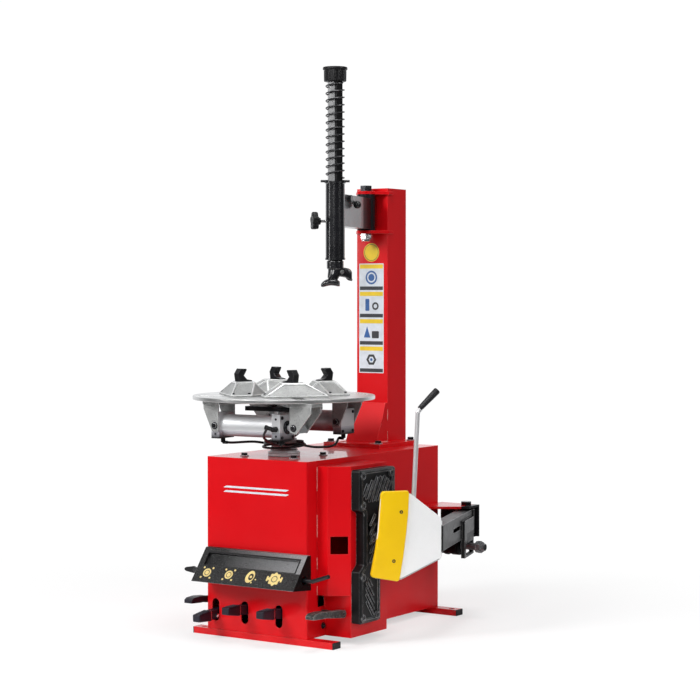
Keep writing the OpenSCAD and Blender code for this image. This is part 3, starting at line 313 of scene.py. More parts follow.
CAD_FINISH = ((RED, "cabinet side_housing column"), (FOOT_RED, "feet"), (CRIMSON, "side_panel"),
    (BRACKET, "breaker_bracket"), (PLASTIC, "foot_caps star_knob bar_cap"), (TRAY, "tool_tray"),
    (IRON, "gearbox"), (HUB, "hub_flange rotary_union"), (MOTOR, "motor"), (BELT, "drive_belt"),
    (FRAME_BOLT, "frame_bolts"), (HINGE, "pivot_pins"), (BREAKER, "breaker_cylinder breaker_arm"),
    (STEEL, "pedal_axle drive_shaft worm_shaft motor_rotor"), (VALVE, "air_valves"), (BRASS, "air_inlet"),
    (BRONZE, "worm_wheel"), (DISC, "turntable_disc"),
    (BLACK_STEEL,
    "link_plate lock_lever tyre_lever jaw_hook_1 jaw_hook_2 jaw_hook_3 jaw_hook_4 return_spring"),
    (BARREL, "clamp_barrel_1 clamp_barrel_2"), (CHROME, "clamp_rod_1 clamp_rod_2"), (ARM_GREY, "swing_arm"),
    (GLOSS_BLACK, "arm_sleeve mount_head"), (HEX, "hex_bar"), (FASTENER, "shovel_pin"),
    (HANDLE, "breaker_handle"), (ROD, "breaker_rod"), (PEDAL, "pedal_1 pedal_2 pedal_3 inflation_pedal"),
    (GREY_PEDAL, "breaker_pedal"), (CAST, "jaw_slide_1 jaw_slide_2 jaw_slide_3 jaw_slide_4"),
    (RUBBER, "side_pad"), (WHITE, "shovel"), (YELLOW, "blade_cover"), (GRIP, "handle_grip"),
    (HOSE, "table_hoses"))


# ---------- Modifiers shared by CAD nodes and pieces ----------

def smooth_group():
    """Geometry nodes that shade smooth and keep edges sharper than the angle."""
    tree = bpy.data.node_groups.new("smooth_by_edge_angle", "GeometryNodeTree")
    tree.interface.new_socket("Geometry", in_out="INPUT", socket_type="NodeSocketGeometry")
    tree.interface.new_socket("Geometry", in_out="OUTPUT", socket_type="NodeSocketGeometry")
    made = tree.nodes.new
    start, end = made("NodeGroupInput"), made("NodeGroupOutput")
    clean, angle = made("GeometryNodeRemoveAttribute"), made("GeometryNodeInputMeshEdgeAngle")
    faces, edges = made("GeometryNodeSetShadeSmooth"), made("GeometryNodeSetShadeSmooth")
    compare = made("FunctionNodeCompare")
    clean.inputs["Name"].default_value = "custom_normal"
    edges.domain = "EDGE"
    compare.operation = "LESS_EQUAL"
    compare.inputs[1].default_value = radians(34)
    for a, b, socket in ((start, clean, 0), (clean, faces, 0), (faces, edges, 0), (angle, compare, 0),
            (compare, edges, "Shade Smooth"), (edges, end, 0)):
        tree.links.new(a.outputs[0], b.inputs[socket])
    return tree


SMOOTH = smooth_group()


def soften(obj, width, segments=2, weld=False):
    """Rounds the sharp edges a little, so that they catch the light."""
    if weld:
        obj.modifiers.new("weld", "WELD").merge_threshold = 2e-5
        flat = obj.modifiers.new("flat", "DECIMATE")
        flat.decimate_type, flat.angle_limit = "DISSOLVE", radians(0.4)
    if width:
        bevel = obj.modifiers.new("bevel", "BEVEL")
        bevel.width, bevel.segments, bevel.limit_method = width, segments, "ANGLE"
        bevel.angle_limit = radians(35)
        bevel.use_clamp_overlap = True
    obj.modifiers.new("smooth", "NODES").node_group = SMOOTH
    level = obj.modifiers.new("level", "WEIGHTED_NORMAL")
    level.keep_sharp = True
    return obj


EDGE = {"cabinet": 2, "feet": 1.2, "side_housing": 1.6, "column": 1.6, "tool_tray": 1.6,
    "turntable_disc": 3.2, "swing_arm": 2, "breaker_arm": 2.5, "breaker_bracket": 1.5, "drive_belt": 0,
    "worm_wheel": 0.3, "breaker_cylinder": 1.5, "arm_sleeve": 1, "hex_bar": 0.8, "pedal_1": 2, "pedal_2": 2,
    "pedal_3": 2, "breaker_pedal": 2.2, "inflation_pedal": 2.2, "hub_flange": 1.6, "rotary_union": 1.6,
    "return_spring": 0}
for mat, nodes in CAD_FINISH:
    for node in nodes.split():
        obj = frame["nodes"][node]
        obj.data.materials.clear()
        obj.data.materials.append(mat)
        soften(obj, EDGE.get(node, 0.8) * MM, 3 if EDGE.get(node, 0) > 1.5 else 2, weld=True)


# ---------- Mesh building, in millimetres ----------

def frame_at(origin, x_axis=(1, 0, 0), z_axis=(0, 0, 1)):
    """Place whose +Z is z_axis and whose +X leans towards x_axis."""
    z = Vector(z_axis).normalized()
    x = Vector(x_axis)
    x = (x - x.dot(z) * z).normalized()
    made = Matrix((x, z.cross(x), z)).transposed().to_4x4()
    made.translation = Vector(origin)
    return made


# The x and z axes of a place that faces the front, or the right
FRONT = ((1, 0, 0), (0, -1, 0))
RIGHT = ((0, 1, 0), (1, 0, 0))


def turned(angle):
    return Matrix.Rotation(radians(angle), 4, "Z")


def moved(x, y, z):
    return Matrix.Translation((x, y, z))


def add_loft(bm, rings, caps=True):
    """Skin through rings of equally many points."""
    rows = [[bm.verts.new(p) for p in ring] for ring in rings]
    count = len(rows[0])
    for a, b in zip(rows, rows[1:]):
        for i in range(count):
            j = (i + 1) % count
            bm.faces.new((a[i], a[j], b[j], b[i]))
    if caps:
        bm.faces.new(list(reversed(rows[0])))
        bm.faces.new(rows[-1])


def add_prism(bm, outline, low, high, place=Matrix()):
    add_loft(bm, [[place @ Vector((p[0], p[1], h)) for p in outline] for h in (low, high)])


def add_box(bm, low, high, place=Matrix()):
    add_prism(bm, [(low[0], low[1]), (high[0], low[1]), (high[0], high[1]), (low[0], high[1])], low[2],
        high[2], place)


def angles(steps):
    return [2 * pi * i / steps for i in range(steps)]


def circle(radius, steps=32, centre=(0, 0), lobes=0, depth=0):
    points = []
    for a in angles(steps):
        r = radius + depth * cos(lobes * a)
        points.append((centre[0] + r * cos(a), centre[1] + r * sin(a)))
    return points


def add_lathe(bm, profile, place=Matrix(), steps=40):
    """Turned solid: profile is (radius, height) from the bottom up."""
    add_loft(bm, [[place @ Vector((*p, h)) for p in circle(r, steps)] for r, h in profile])


def rounded(outline, radius, steps=5):
    """The outline with every corner turned into an arc."""
    made = []
    for i, corner in enumerate(outline):
        c = Vector(corner[:2])
        a, b = Vector(outline[i - 1][:2]) - c, Vector(outline[(i + 1) % len(outline)][:2]) - c
        cut = min(radius / tan(a.angle(b) / 2), 0.48 * a.length, 0.48 * b.length)
        start, end = c + a.normalized() * cut, c + b.normalized() * cut
        for k in range(steps + 1):
            t = k / steps
            p = (1 - t) ** 2 * start + 2 * t * (1 - t) * c + t * t * end
            made.append((p.x, p.y))
    return made


def through(points, steps=8):
    """Smooth line through the points."""
    pts = [Vector(p) for p in points]
    pts = [2 * pts[0] - pts[1]] + pts + [2 * pts[-1] - pts[-2]]
    line = []
    for i in range(1, len(pts) - 2):
        p0, p1, p2, p3 = pts[i - 1:i + 3]
        for k in range(steps):
            t = k / steps
            line.append(0.5 * (2 * p1 + (p2 - p0) * t + (2 * p0 - 5 * p1 + 4 * p2 - p3) * t * t +
                (3 * p1 - p0 - 3 * p2 + p3) * t ** 3))
    return line + [pts[-2]]


def add_tube(bm, path, radius, sides=12, closed=False):
    """Round bar along a line; radius may be a function of the part of the way."""
    path = [Vector(p) for p in path]
    last = len(path) - 1
    tangents = [(path[min(i + 1, last)] - path[max(i - 1, 0)]).normalized() for i in range(last + 1)]
    if closed:
        tangents = [(path[(i + 1) % (last + 1)] - path[i - 1]).normalized() for i in range(last + 1)]
    across = tangents[0].orthogonal().normalized()
    rings = []
    for i, (p, t) in enumerate(zip(path, tangents)):
        across = (across - across.dot(t) * t).normalized()
        side = t.cross(across)
        r = radius(i / last) if callable(radius) else radius
        rings.append([p + r * (cos(a) * across + sin(a) * side) for a in angles(sides)])
    if closed:
        rings.append(rings[0])
    add_loft(bm, rings, caps=not closed)
    if closed:
        bmesh.ops.remove_doubles(bm, verts=bm.verts, dist=1e-4)


def add_ring(bm, profile, place=Matrix(), steps=40):
    """Turned ring: the closed profile of (radius, height) never reaches the axis."""
    add_loft(bm, [[place @ Vector((*p, h)) for p in circle(r, steps)] for r, h in (*profile, profile[0])],
        caps=False)
    bmesh.ops.remove_doubles(bm, verts=bm.verts, dist=1e-4)


def add_bolt(bm, place, size=6, height=5, washer=1.7):
    """Hexagon head with a chamfer on a round washer; size is the head's corner radius."""
    if washer:
        add_lathe(bm, [(size * washer, 0), (size * washer, 1.1), (size * washer - 0.6, 1.6)], place, 28)
    base = 1.6 if washer else 0
    rings = [(size, base), (size, base + height * 0.78), (size * 0.86, base + height)]
    add_loft(bm, [[place @ Vector((*p, h)) for p in circle(r, 6)] for r, h in rings])
    add_lathe(bm, [(size * 0.30, base + height - 0.2), (size * 0.30, base + height + 0.5),
        (size * 0.22, base + height + 0.9)], place, 16)


def add_cap_screw(bm, place, r=5, h=6):
    """Socket screw: round head with a round socket sunk in it."""
    add_lathe(bm, [(r, 0), (r, h - 0.7), (r - 0.6, h), (r * 0.55, h), (r * 0.5, h * 0.45)], place, 24)


def sliced(bm, axis, values):
    """Adds edge lines across a mesh, so that it can bend."""
    for v in values:
        bmesh.ops.bisect_plane(bm, geom=bm.verts[:] + bm.edges[:] + bm.faces[:], plane_co=Vector(axis) * v,
            plane_no=Vector(axis), dist=1e-4)


def build(name, bm, mats, bevel=0, segments=2):
    """Turns a mesh in millimetres into an object."""
    bmesh.ops.recalc_face_normals(bm, faces=bm.faces)
    bm.transform(Matrix.Scale(MM, 4))
    mesh = bpy.data.meshes.new(name)
    bm.to_mesh(mesh)
    bm.free()
    for mat in mats:
        mesh.materials.append(mat)
    obj = bpy.data.objects.new(name, mesh)
    scene.collection.objects.link(obj)
    return soften(obj, bevel * MM, segments)


def piece(name, bm, mat, body, bevel=0, segments=2, stands_for=(), extra=()):
    """Named piece that rides on a body, and may stand for CAD nodes."""
    obj = build(name, bm, (mat, *extra), bevel, segments)
    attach(obj, body)
    if stands_for:
        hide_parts(*stands_for)
    return obj


TABLE = turned(3)
DISC_LOW, DISC_TOP = 739, 751
CYL_OFF, CYL_Z = 165, 663


# ---------- Clamping jaws ----------

def jaw_cover(bm, place):
    """Cast pyramid cover: raised borders round recessed faces."""
    z = DISC_TOP + 0.2
    base = [(60, -38), (122, -100), (188, -100), (188, 100), (122, 100), (60, 38)]
    top = [(100, -34), (158, -34), (158, 34), (100, 34)]
    low = [bm.verts.new(place @ Vector((*p, z))) for p in base]
    rim = [bm.verts.new(place @ Vector((*p, z + 5))) for p in base]
    head = [bm.verts.new(place @ Vector((*p, z + 44))) for p in top]
    for i in range(6):
        j = (i + 1) % 6
        bm.faces.new((low[i], low[j], rim[j], rim[i]))
    bm.faces.new(list(reversed(low)))
    slopes = [bm.faces.new(f) for f in ((rim[5], rim[0], head[0], head[3]), (rim[0], rim[1], head[0]),
        (rim[1], rim[2], head[1], head[0]), (rim[2], rim[3], head[2], head[1]),
        (rim[3], rim[4], head[3], head[2]), (rim[4], rim[5], head[3]))]
    bm.faces.new(head)
    bmesh.ops.recalc_face_normals(bm, faces=bm.faces)
    # The border faces take the lighter second material: a painted highlight.
    for face in bmesh.ops.inset_individual(bm, faces=slopes, thickness=5, depth=0)["faces"]:
        face.material_index = 1
    bmesh.ops.inset_individual(bm, faces=slopes, thickness=2.4, depth=-2.4)


CHEEK_T = 5


def cheek(bm, place, outline, y):
    side = frame_at((0, y + CHEEK_T / 2, 0), *FRONT)
    add_prism(bm, rounded(outline, 3, 3), 0, CHEEK_T, place @ side)


def jaw_slide(number, turn, at_barrel):
    """Cover, slide in the disc's slot and the two cheeks that hold a cylinder's end."""
    bm = bmesh.new()
    radial = TABLE @ turned(turn)
    jaw_cover(bm, radial)
    add_box(bm, (98, -17.8, DISC_LOW - 1.2), (182, 17.8, DISC_TOP + 1.2), radial)
    add_box(bm, (96, -44, DISC_LOW - 12.2), (246, 44, DISC_LOW - 0.2), radial)
    half = TABLE @ turned(0 if number < 3 else 180)
    low = CYL_Z - 18
    x0, x1, gap = (-160, -104, 41) if at_barrel else (146, 222, 26)
    under = DISC_LOW - 8
    outline = [(x0, under), (x1, under), (x1, DISC_LOW - 30), (x0 + 24, low), (x0, low + 6)]
    if at_barrel:
        outline = [(x0, under), (x1, under), (x1, low), (x1 - 24, low), (x0, DISC_LOW - 24)]
    for s in (-1, 1):
        cheek(bm, half, outline, -CYL_OFF + s * (gap + CHEEK_T / 2))
    add_box(bm, (x0 - 3, -CYL_OFF - gap - 5, DISC_LOW - 11.4), (x1 + 3, -CYL_OFF + gap + 5, DISC_LOW - 1),
        half)
    name = f"jaw_{number}"
    piece(f"{name}_casting", bm, CAST, name, 0.9, 2, (f"jaw_slide_{number}",), (CAST_RIM_HIGHLIGHT,))
    screws = bmesh.new()
    for x, y in ((178, -86), (178, 86), (128, -86), (128, 86)):
        add_cap_screw(screws, radial @ moved(x, y, DISC_TOP + 9), 4.6, 3.6)
    pin_x = -118 if at_barrel else 160
    for s in (-1, 1):
        out = frame_at((pin_x, -CYL_OFF + s * (gap + 5), CYL_Z), (1, 0, 0), (0, s, 0))
        add_bolt(screws, half @ out, 7.5, 5.5, 1.45)
    piece(f"{name}_screws", screws, FASTENER, name, 0.25, 1, ())


for number, turn in ((1, 225), (2, 315), (3, 45), (4, 135)):
    jaw_slide(number, turn, number in (1, 3))


# ---------- Air fittings and hoses of the turntable ----------

def cylinder_trim(number, half):
    """Screws, gland ring and elbow fitting of one air cylinder."""
    bm = bmesh.new()
    for x, side in ((-134, -1), (118, 1)):
        face = frame_at((x, -CYL_OFF, CYL_Z), (0, 1, 0), (side, 0, 0))
        for a in (-30, 30):
            for b in (-30, 30):
                add_cap_screw(bm, half @ face @ moved(a, b, 0), 5.2, 3.6)
    face = frame_at((118, -CYL_OFF, CYL_Z), *RIGHT)
    add_ring(bm, [(21, 0), (21, 3.4), (19.6, 4.4), (14.2, 4.4), (13.4, 3.2), (13.4, 0)], half @ face, 40)
    for x in (-119, 103):
        front = frame_at((x, -CYL_OFF - 40, CYL_Z), *FRONT)
        for h in (-26, 26):
            add_cap_screw(bm, half @ front @ moved(0, h, 0), 3.6, 2)
    piece(f"cylinder_{number}_screws", bm, FASTENER, "jaw_1" if number == 1 else "jaw_3", 0.25, 1, ())
    bm = bmesh.new()
    under = (103, -CYL_OFF - 10, CYL_Z - 40)
    add_lathe(bm, [(8.5, -8), (8.5, 0)], half @ moved(*under), 6)
    add_lathe(bm, [(6, -16), (6.6, -8)], half @ moved(*under), 20)
    front = frame_at((103, -CYL_OFF - 40, CYL_Z - 4), *FRONT)
    add_lathe(bm, [(9.5, 0), (9.5, 7)], half @ front, 6)
    add_lathe(bm, [(7.5, 7), (7.5, 20), (6.5, 22)], half @ front, 20)
    elbow = frame_at((103, -CYL_OFF - 54, CYL_Z - 4), (0, 0, 1), (-0.55, -0.15, 0.15))
    add_lathe(bm, [(6.2, -4), (6.2, 20), (7.2, 20), (7.2, 27), (5.5, 28)], half @ elbow, 20)
    piece(f"cylinder_{number}_elbow", bm, PLASTIC, "jaw_1" if number == 1 else "jaw_3", 0.4, 1, ())


for number in (1, 2):
    cylinder_trim(number, TABLE @ turned(180 * (number - 1)))


def hose(name, points):
    """Hose that joins the turntable's ring to a fitting on a jaw, and bends between them."""
    bm = bmesh.new()
    path = through([TABLE @ Vector(p) for p in points], 10)
    add_tube(bm, path, 3.9, 10)
    obj = build(name, bm, (HOSE,))
    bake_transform(obj)


def ring_hoses():
    """Hose loops about the rotary union, and its four fittings."""
    bm = bmesh.new()
    for k, (r, z, tilt) in enumerate(((62, 599, 0), (57, 606, 0.05), (66, 592, -0.06))):
        add_tube(bm, [Vector((r * cos(a), r * sin(a), z + tilt * r * cos(a + k))) for a in angles(56)], 3.7,
            10, True)
    piece("union_hose_loops", bm, HOSE, "table", 0, 1, ("table_hoses",))
    bm = bmesh.new()
    for a in (20, 110, 200, 290):
        out = turned(a) @ frame_at((38, 0, 604), (0, 0, 1), (1, 0, 0))
        add_lathe(bm, [(7.5, 0), (7.5, 7)], out, 6)
        add_lathe(bm, [(5, 7), (5, 20), (6, 20), (6, 25)], out, 20)
    piece("union_fittings", bm, PLASTIC, "table", 0.35, 1, ())


ring_hoses()
hose("hose_front_left", [(-60, -18, 599), (-72, -70, 606), (-96, -140, 607), (-101, -165, 609)])
hose("hose_front_right", [(58, -24, 606), (84, -92, 612), (110, -168, 618), (104, -178, 606)])
hose("hose_front_valve", [(36, -52, 599), (52, -130, 606), (60, -205, 632), (82, -222, 662)])
hose("hose_rear_right", [(60, 18, 594), (84, 62, 586), (104, 128, 588), (101, 165, 609)])
hose("hose_rear_left", [(-58, 24, 606), (-84, 92, 612), (-110, 168, 618), (-104, 178, 606)])
hose("hose_rear_valve", [(-36, 52, 599), (-52, 130, 606), (-60, 205, 632), (-82, 222, 662)])


# ---------- Bar, spring, knob, cap and mounting tool ----------

BAR = (95, 146)
ARM_TURN = degrees(atan2(146 - 468, 95))


def spring():
    bm = bmesh.new()
    low, high, coils, steps = 1432.5, 1732, 13, 34
    path = [Vector((BAR[0] + 28.5 * cos(a), BAR[1] + 28.5 * sin(a), low + (high - low) * k / (coils * steps)))
        for k, a in ((k, 2 * pi * k / steps) for k in range(coils * steps + 1))]
    add_tube(bm, path, 2.4, 8)
    obj = piece("coil_spring", bm, BLACK_STEEL, "arm", 0, 1, ("return_spring",))
    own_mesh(obj)


def cap():
    bm = bmesh.new()
    z = 1737
    rings = []
    for r, h, ribs in ((32, 0, 0), (33, 0.5, 1.6), (33.6, 3, 1.8), (34, 20, 1.8), (34.3, 33, 1.6),
            (34.5, 36, 0.2), (37.8, 37, 0), (39, 38.2, 0), (39, 44.2, 0), (37.6, 45.8, 0), (31, 46, 0),
            (29, 44.5, 0), (10, 44.2, 0)):
        ring = []
        for a in angles(144):
            wave = max(0, cos(12 * a)) ** 0.5
            ring.append(Vector((BAR[0] + (r + ribs * wave) * cos(a), BAR[1] + (r + ribs * wave) * sin(a),
                z + h)))
        rings.append(ring)
    add_loft(bm, rings)
    piece("ribbed_bar_cap", bm, PLASTIC, "bar", 0.3, 1, ("bar_cap",))


def knob():
    place = frame_at((*BAR, 1297), (0, 0, 1), (turned(ARM_TURN + 300) @ Vector((1, 0, 0))))
    bm = bmesh.new()
    rings = []
    for scale, h in ((0.55, 55.5), (0.90, 56.5), (0.98, 58.5), (1, 62), (1, 71), (0.97, 74), (0.88, 75.8),
            (0.45, 76), (0.40, 74.6)):
        rings.append([place @ Vector((*p, h)) for p in circle(25.2 * scale, 100, lobes=5, depth=4.4 * scale)])
    add_loft(bm, rings)
    add_lathe(bm, [(10.5, 48), (11, 49), (11.4, 56), (12, 57)], place, 32)
    add_lathe(bm, [(8.2, 74), (8.2, 75.6), (7.2, 76.2)], place, 32)
    piece("star_knob_grip", bm, PLASTIC, "knob", 0.3, 1, ("star_knob",))
    bm = bmesh.new()
    profile = [(4.9, 24.2)]
    for k in range(12):
        profile += [(4.3, 25 + 2 * k), (4.9, 26 + 2 * k)]
    add_lathe(bm, profile + [(4.9, 50)], place, 24)
    piece("star_knob_screw", bm, STEEL, "knob", 0, 1, ())


def mounting_tool():
    """Collar, bent neck, duck-bill foot to one side and a finger block to the other."""
    bm = bmesh.new()
    base = moved(*BAR, 0) @ turned(33)
    add_lathe(bm, [(24.5, 1146), (27, 1148.5), (27, 1170), (25.8, 1172)], moved(*BAR, 0), 48)
    neck = [(0, 0, 1150), (-2, -3, 1138), (-6, -7, 1124), (-9, -9, 1114)]
    add_tube(bm, [base @ Vector(p) for p in neck], lambda t: 24 - 8 * t, 28)
    bill = []
    for k in range(15):
        t = k / 14
        x, z = 15 - 60 * t, 1099 + 8 * sin(pi * t) - 4 * t
        wide = 18 * (1 - (2 * t - 0.9) ** 4 * 0.62) ** 0.5
        tall = 11.5 * (1 - (2 * t - 0.95) ** 4 * 0.70) ** 0.5
        bill.append([base @ Vector((x, -9 + wide * cos(a), z + tall * sin(a))) for a in angles(26)])
    add_loft(bm, bill)
    rings = []
    for x, y, z, w, h in ((2, 2, 1136, 16, 15), (16, 6, 1137, 16, 15), (32, 9, 1135, 14.5, 16),
            (44, 11, 1131, 12, 17), (50, 11.5, 1127, 10, 16), (53, 12, 1125, 8, 12)):
        rings.append([base @ Vector((x, y + w * cos(a) / max(abs(cos(a)), abs(sin(a))) ** 0.72,
            z + h * sin(a) / max(abs(cos(a)), abs(sin(a))) ** 0.72)) for a in angles(28)])
    add_loft(bm, rings)
    add_tube(bm, [base @ Vector(p) for p in through([(34, 10, 1128), (42, 11, 1116), (54, 12, 1111)], 6)],
        lambda t: 7.5 - 4.2 * t, 16)
    obj = piece("mounting_tool", bm, GLOSS_BLACK, "bar", 0, 1, ("mount_head",))
    melt = obj.modifiers.new("melt", "REMESH")
    melt.mode, melt.voxel_size, melt.use_smooth_shade = "VOXEL", 1.1 * MM, True
    even = obj.modifiers.new("even", "SMOOTH")
    even.factor, even.iterations = 0.5, 4
    for name in ("melt", "even"):
        obj.modifiers.move(obj.modifiers.find(name), 0 if name == "melt" else 1)
    bm = bmesh.new()
    for a, z, r in ((140, 1160, 27), (40, 1160, 27)):
        out = base @ turned(a) @ frame_at((r - 0.5, 0, z), (0, 0, 1), (1, 0, 0))
        add_cap_screw(bm, out, 4.6, 4)
    add_cap_screw(bm, base @ frame_at((22, -7.5, 1137), (1, 0, 0), (0.1, -1, 0)), 6.5, 6)
    piece("mounting_tool_screws", bm, STEEL, "bar", 0.3, 1, ())


spring()
cap()
knob()
mounting_tool()


# ---------- Bead breaker: shovel, cover, handle, end of the rod ----------

BLADE_ROOT = Vector((483, 146, 0))
BLADE_DIR = atan2(-33 - 146, 352 - 483)
BLADE = frame_at(BLADE_ROOT, (cos(BLADE_DIR), sin(BLADE_DIR), 0), (sin(BLADE_DIR), -cos(BLADE_DIR), 0))
SHOVEL_PIN = (455, 168)
PLATE_LINE = [(-5, 256), (-5, 382), (97, 460), (190, 460), (200, 347), (214, 216), (127, 198)]
COVER_LINE = [(102, 463), (106, 469), (184, 469), (190, 462), (194.5, 404), (199, 347), (207.5, 290),
    (222, 216), (218, 208), (140, 193), (133, 197), (121, 266), (112.5, 328), (105, 396)]


STRAIGHT_TO = 60


def bend(x):
    """How far the blade's working half is bent to the back."""
    return 0.00028 * (x - STRAIGHT_TO) ** 2 if x > STRAIGHT_TO else 0


def bowed(bm):
    for v in bm.verts:
        v.co.z += bend(v.co.x)


def shovel():
    bm = bmesh.new()
    add_prism(bm, rounded(PLATE_LINE, 9, 5), 0.2, 5.6)
    sliced(bm, (1, 0, 0), [STRAIGHT_TO + 13 * k for k in range(13)])
    bowed(bm)
    bm.transform(BLADE)
    along = Vector((cos(BLADE_DIR), sin(BLADE_DIR), 0))
    for z in (261, 356):
        pin = Vector((*SHOVEL_PIN, 0))
        corners = [pin + Vector((8, 18, 0)), pin + Vector((-19, -5, 0)), BLADE_ROOT + 66 * along,
            BLADE_ROOT + 3 * along]
        add_prism(bm, corners, z, z + 13)
        add_lathe(bm, [(19.2, z), (20, z + 0.8), (20, z + 12.2), (19.2, z + 13)], moved(*SHOVEL_PIN, 0), 48)
    piece("shovel_plate", bm, WHITE, "blade", 1, 3, ("shovel",))
    bm = bmesh.new()
    add_prism(bm, rounded([(0, 254.1), (0, 257.9), (127, 202.1), (211, 219.5), (213, 215.7), (127, 197.7)],
        1.2, 2), -0.5, 6.4)
    sliced(bm, (1, 0, 0), [STRAIGHT_TO + 13 * k for k in range(13)])
    bowed(bm)
    bm.transform(BLADE)
    piece("shovel_edge_strip", bm, PLATE, "blade", 0.5, 2, ())


def cover():
    bm = bmesh.new()
    line = rounded(COVER_LINE, 11, 6)
    inner = [(x * 0.955 + 7.2, y * 0.976 + 8) for x, y in line]
    rings = [[Vector((p[0] * (1 - g) + q[0] * g, p[1] * (1 - g) + q[1] * g, z)) for p,
        q in zip(line, inner)] for g, z in ((1, -5), (0.55, -4.7), (0.2, -3.4), (0, -1.2), (0, 8),
        (0.3, 10.2), (0.8, 11))]
    add_loft(bm, rings)
    bmesh.ops.recalc_face_normals(bm, faces=bm.faces)
    sliced(bm, (1, 0, 0), [96 + 9 * k for k in range(15)])
    bowed(bm)
    bm.transform(BLADE)
    piece("shovel_cover", bm, YELLOW, "blade", 0, 2, ("blade_cover",))
    bm = bmesh.new()
    for u, z in ((128, 405), (152, 256)):
        front = BLADE @ frame_at((u, z, -5 + bend(u)), (1, 0, 0), (0, 0, -1))
        add_lathe(bm, [(5.4, -0.6), (5.4, 0.3), (4.4, 0.9), (2.4, 0.9), (2.2, -0.3)], front, 28)
    piece("shovel_cover_screws", bm, FASTENER, "blade", 0, 1, ())


def behind(u, z):
    return BLADE @ Vector((u, z, 12.5))


def handle_grip():
    start, end = behind(62, 717), behind(3, 773)
    bm = bmesh.new()

    def swell(t):
        ribs = 0.35 * abs(sin(22 * pi * t)) if 0.10 < t < 0.80 else 0
        return 8.2 + 2.8 * t + ribs if t < 0.975 else 9.4

    add_tube(bm, [start.lerp(end, k / 150) for k in range(151)], swell, 28)
    piece("rubber_handle_grip", bm, GRIP, "blade", 0.8, 2, ("handle_grip",))


def breaker_trim():
    """Collars and screwed gland of the breaker cylinder, and the washer and nut on its rod."""
    bm = bmesh.new()
    for x in (200, 232, 264):
        ring = frame_at((x, 552, 240), *RIGHT)
        add_lathe(bm, [(30.5, 0), (33, 1.5), (33, 10.5), (30.5, 12)], ring, 56)
    head = frame_at((292, 552, 240), *RIGHT)
    add_lathe(bm, [(32, 24), (31, 26), (22, 26), (20, 30), (13.5, 30)], head, 56)
    for a in range(6):
        add_cap_screw(bm, head @ turned(60 * a + 30) @ moved(26.4, 0, 25.6), 3.4, 3)
    piece("breaker_gland", bm, BREAKER, "machine", 0.3, 2, ())
    bm = bmesh.new()
    end = frame_at((398, 552, 240), *RIGHT)
    add_lathe(bm, [(16, 0), (17, 1), (17, 3)], end, 40)
    add_lathe(bm, [(12.3, 3), (12.3, 9.5), (10.8, 12)], end, 32)
    piece("rod_end_washer", bm, ROD, "push_rod", 0.2, 1, ())


shovel()
cover()
handle_grip()
breaker_trim()


# ---------- Rubber side pad ----------

PAD_X = 286.5
PAD_LINE = [(-47, 63), (67, 63), (67, 222), (72, 242), (72, 398), (150.5, 412), (150.5, 533), (-47, 533),
    (-47, 410), (-22, 400), (-22, 242), (-47, 222)]
PAD_BOLTS = [(-30, 515), (130, 515), (130, 424), (-30, 424), (25, 320), (-30, 205), (50, 205), (-30, 80),
    (50, 80)]


def inset_line(line, depth):
    """The outline moved inwards by depth (corners mitred); the line runs anticlockwise."""
    made = []
    for i, corner in enumerate(line):
        c = Vector(corner)
        a, b = (c - Vector(line[i - 1])).normalized(), (Vector(line[(i + 1) % len(line)]) - c).normalized()
        na, nb = Vector((-a.y, a.x)), Vector((-b.y, b.x))
        miter = (na + nb) / max(0.25, 1 + na.dot(nb))
        made.append(tuple(c + miter * depth))
    return made


def side_pad():
    side = frame_at((PAD_X, 0, 0), *RIGHT)
    outer = rounded(PAD_LINE, 9, 4)
    lines = [(inset_line(outer, d), h) for d, h in ((0, 0), (0, 27), (0.8, 28.6), (5.4, 34), (7, 35),
        (11, 35), (12.2, 34), (13, 29.2), (14, 28.4))]
    bm = bmesh.new()
    add_loft(bm, [[side @ Vector((*p, h)) for p in line] for line, h in lines])

    def rib(centre, length, lean):
        place = side @ moved(*centre, 27) @ turned(lean)
        half = length / 2
        shape = rounded([(-half, -4), (half, -4), (half, 4), (-half, 4)], 3.9, 4)
        tip = [(x * (half - 2) / half, y * 0.46) for x, y in shape]
        mid = [(x * (half - 0.6) / half, y * 0.88) for x, y in shape]
        add_loft(bm, [[place @ Vector((*p, h)) for p in ring] for ring,
            h in ((shape, 0), (mid, 5.2), (tip, 7.8))])

    for i in range(7):
        rib((-15 + 21.5 * i, 470), (44, 66, 88, 88, 88, 66, 44)[i], 59)
    for i in range(5):
        rib((10, 186 - 20 * i), (34, 58, 66, 66, 58)[i], -52)
    for i in range(5):
        rib((25, 264 + 28 * i), 44, 52)
    for u, v in PAD_BOLTS:
        add_lathe(bm, [(12.5, 26), (12.5, 33.5), (11.4, 34.6), (9, 34.6), (8.2, 30.5)], side @ moved(u, v, 0),
            36)
    piece("ribbed_side_pad", bm, RUBBER, "machine", 0.6, 2, ("side_pad",))
    bm = bmesh.new()
    for u, v in PAD_BOLTS:
        add_bolt(bm, side @ moved(u, v, 28.5), 5.6, 3.6, 1.35)
    piece("side_pad_bolts", bm, FASTENER, "machine", 0.25, 1, ())


side_pad()


# ---------- Tray icons, column panel and stripe: generic marks only; a painted shadow line round the tray's recess ---

SLOPE = atan2(278 - 180, 75)
SLOPE_PLACE = frame_at((0, -166, 278), (1, 0, 0), (0, -sin(SLOPE), cos(SLOPE)))


def on_slope(x, down):
    return SLOPE_PLACE @ moved(x, -down, 0)


def ink(name, colour):
    return finish(name, colour, 0.42, mottle=(40, 0.10), grain=(900, 0.45, 0.0002))


CREAM_INK = ink("cream_yellow_ink", (0.74, 0.58, 0.22))
DARK_INK = ink("dark_grey_ink", (0.035, 0.037, 0.042))
WHITE_INK = ink("white_ink", (0.70, 0.75, 0.81))
YELLOW_INK = ink("plain_yellow_ink", (0.86, 0.60, 0.02))
BLUE_INK = ink("plain_blue_ink", (0.030, 0.115, 0.34))


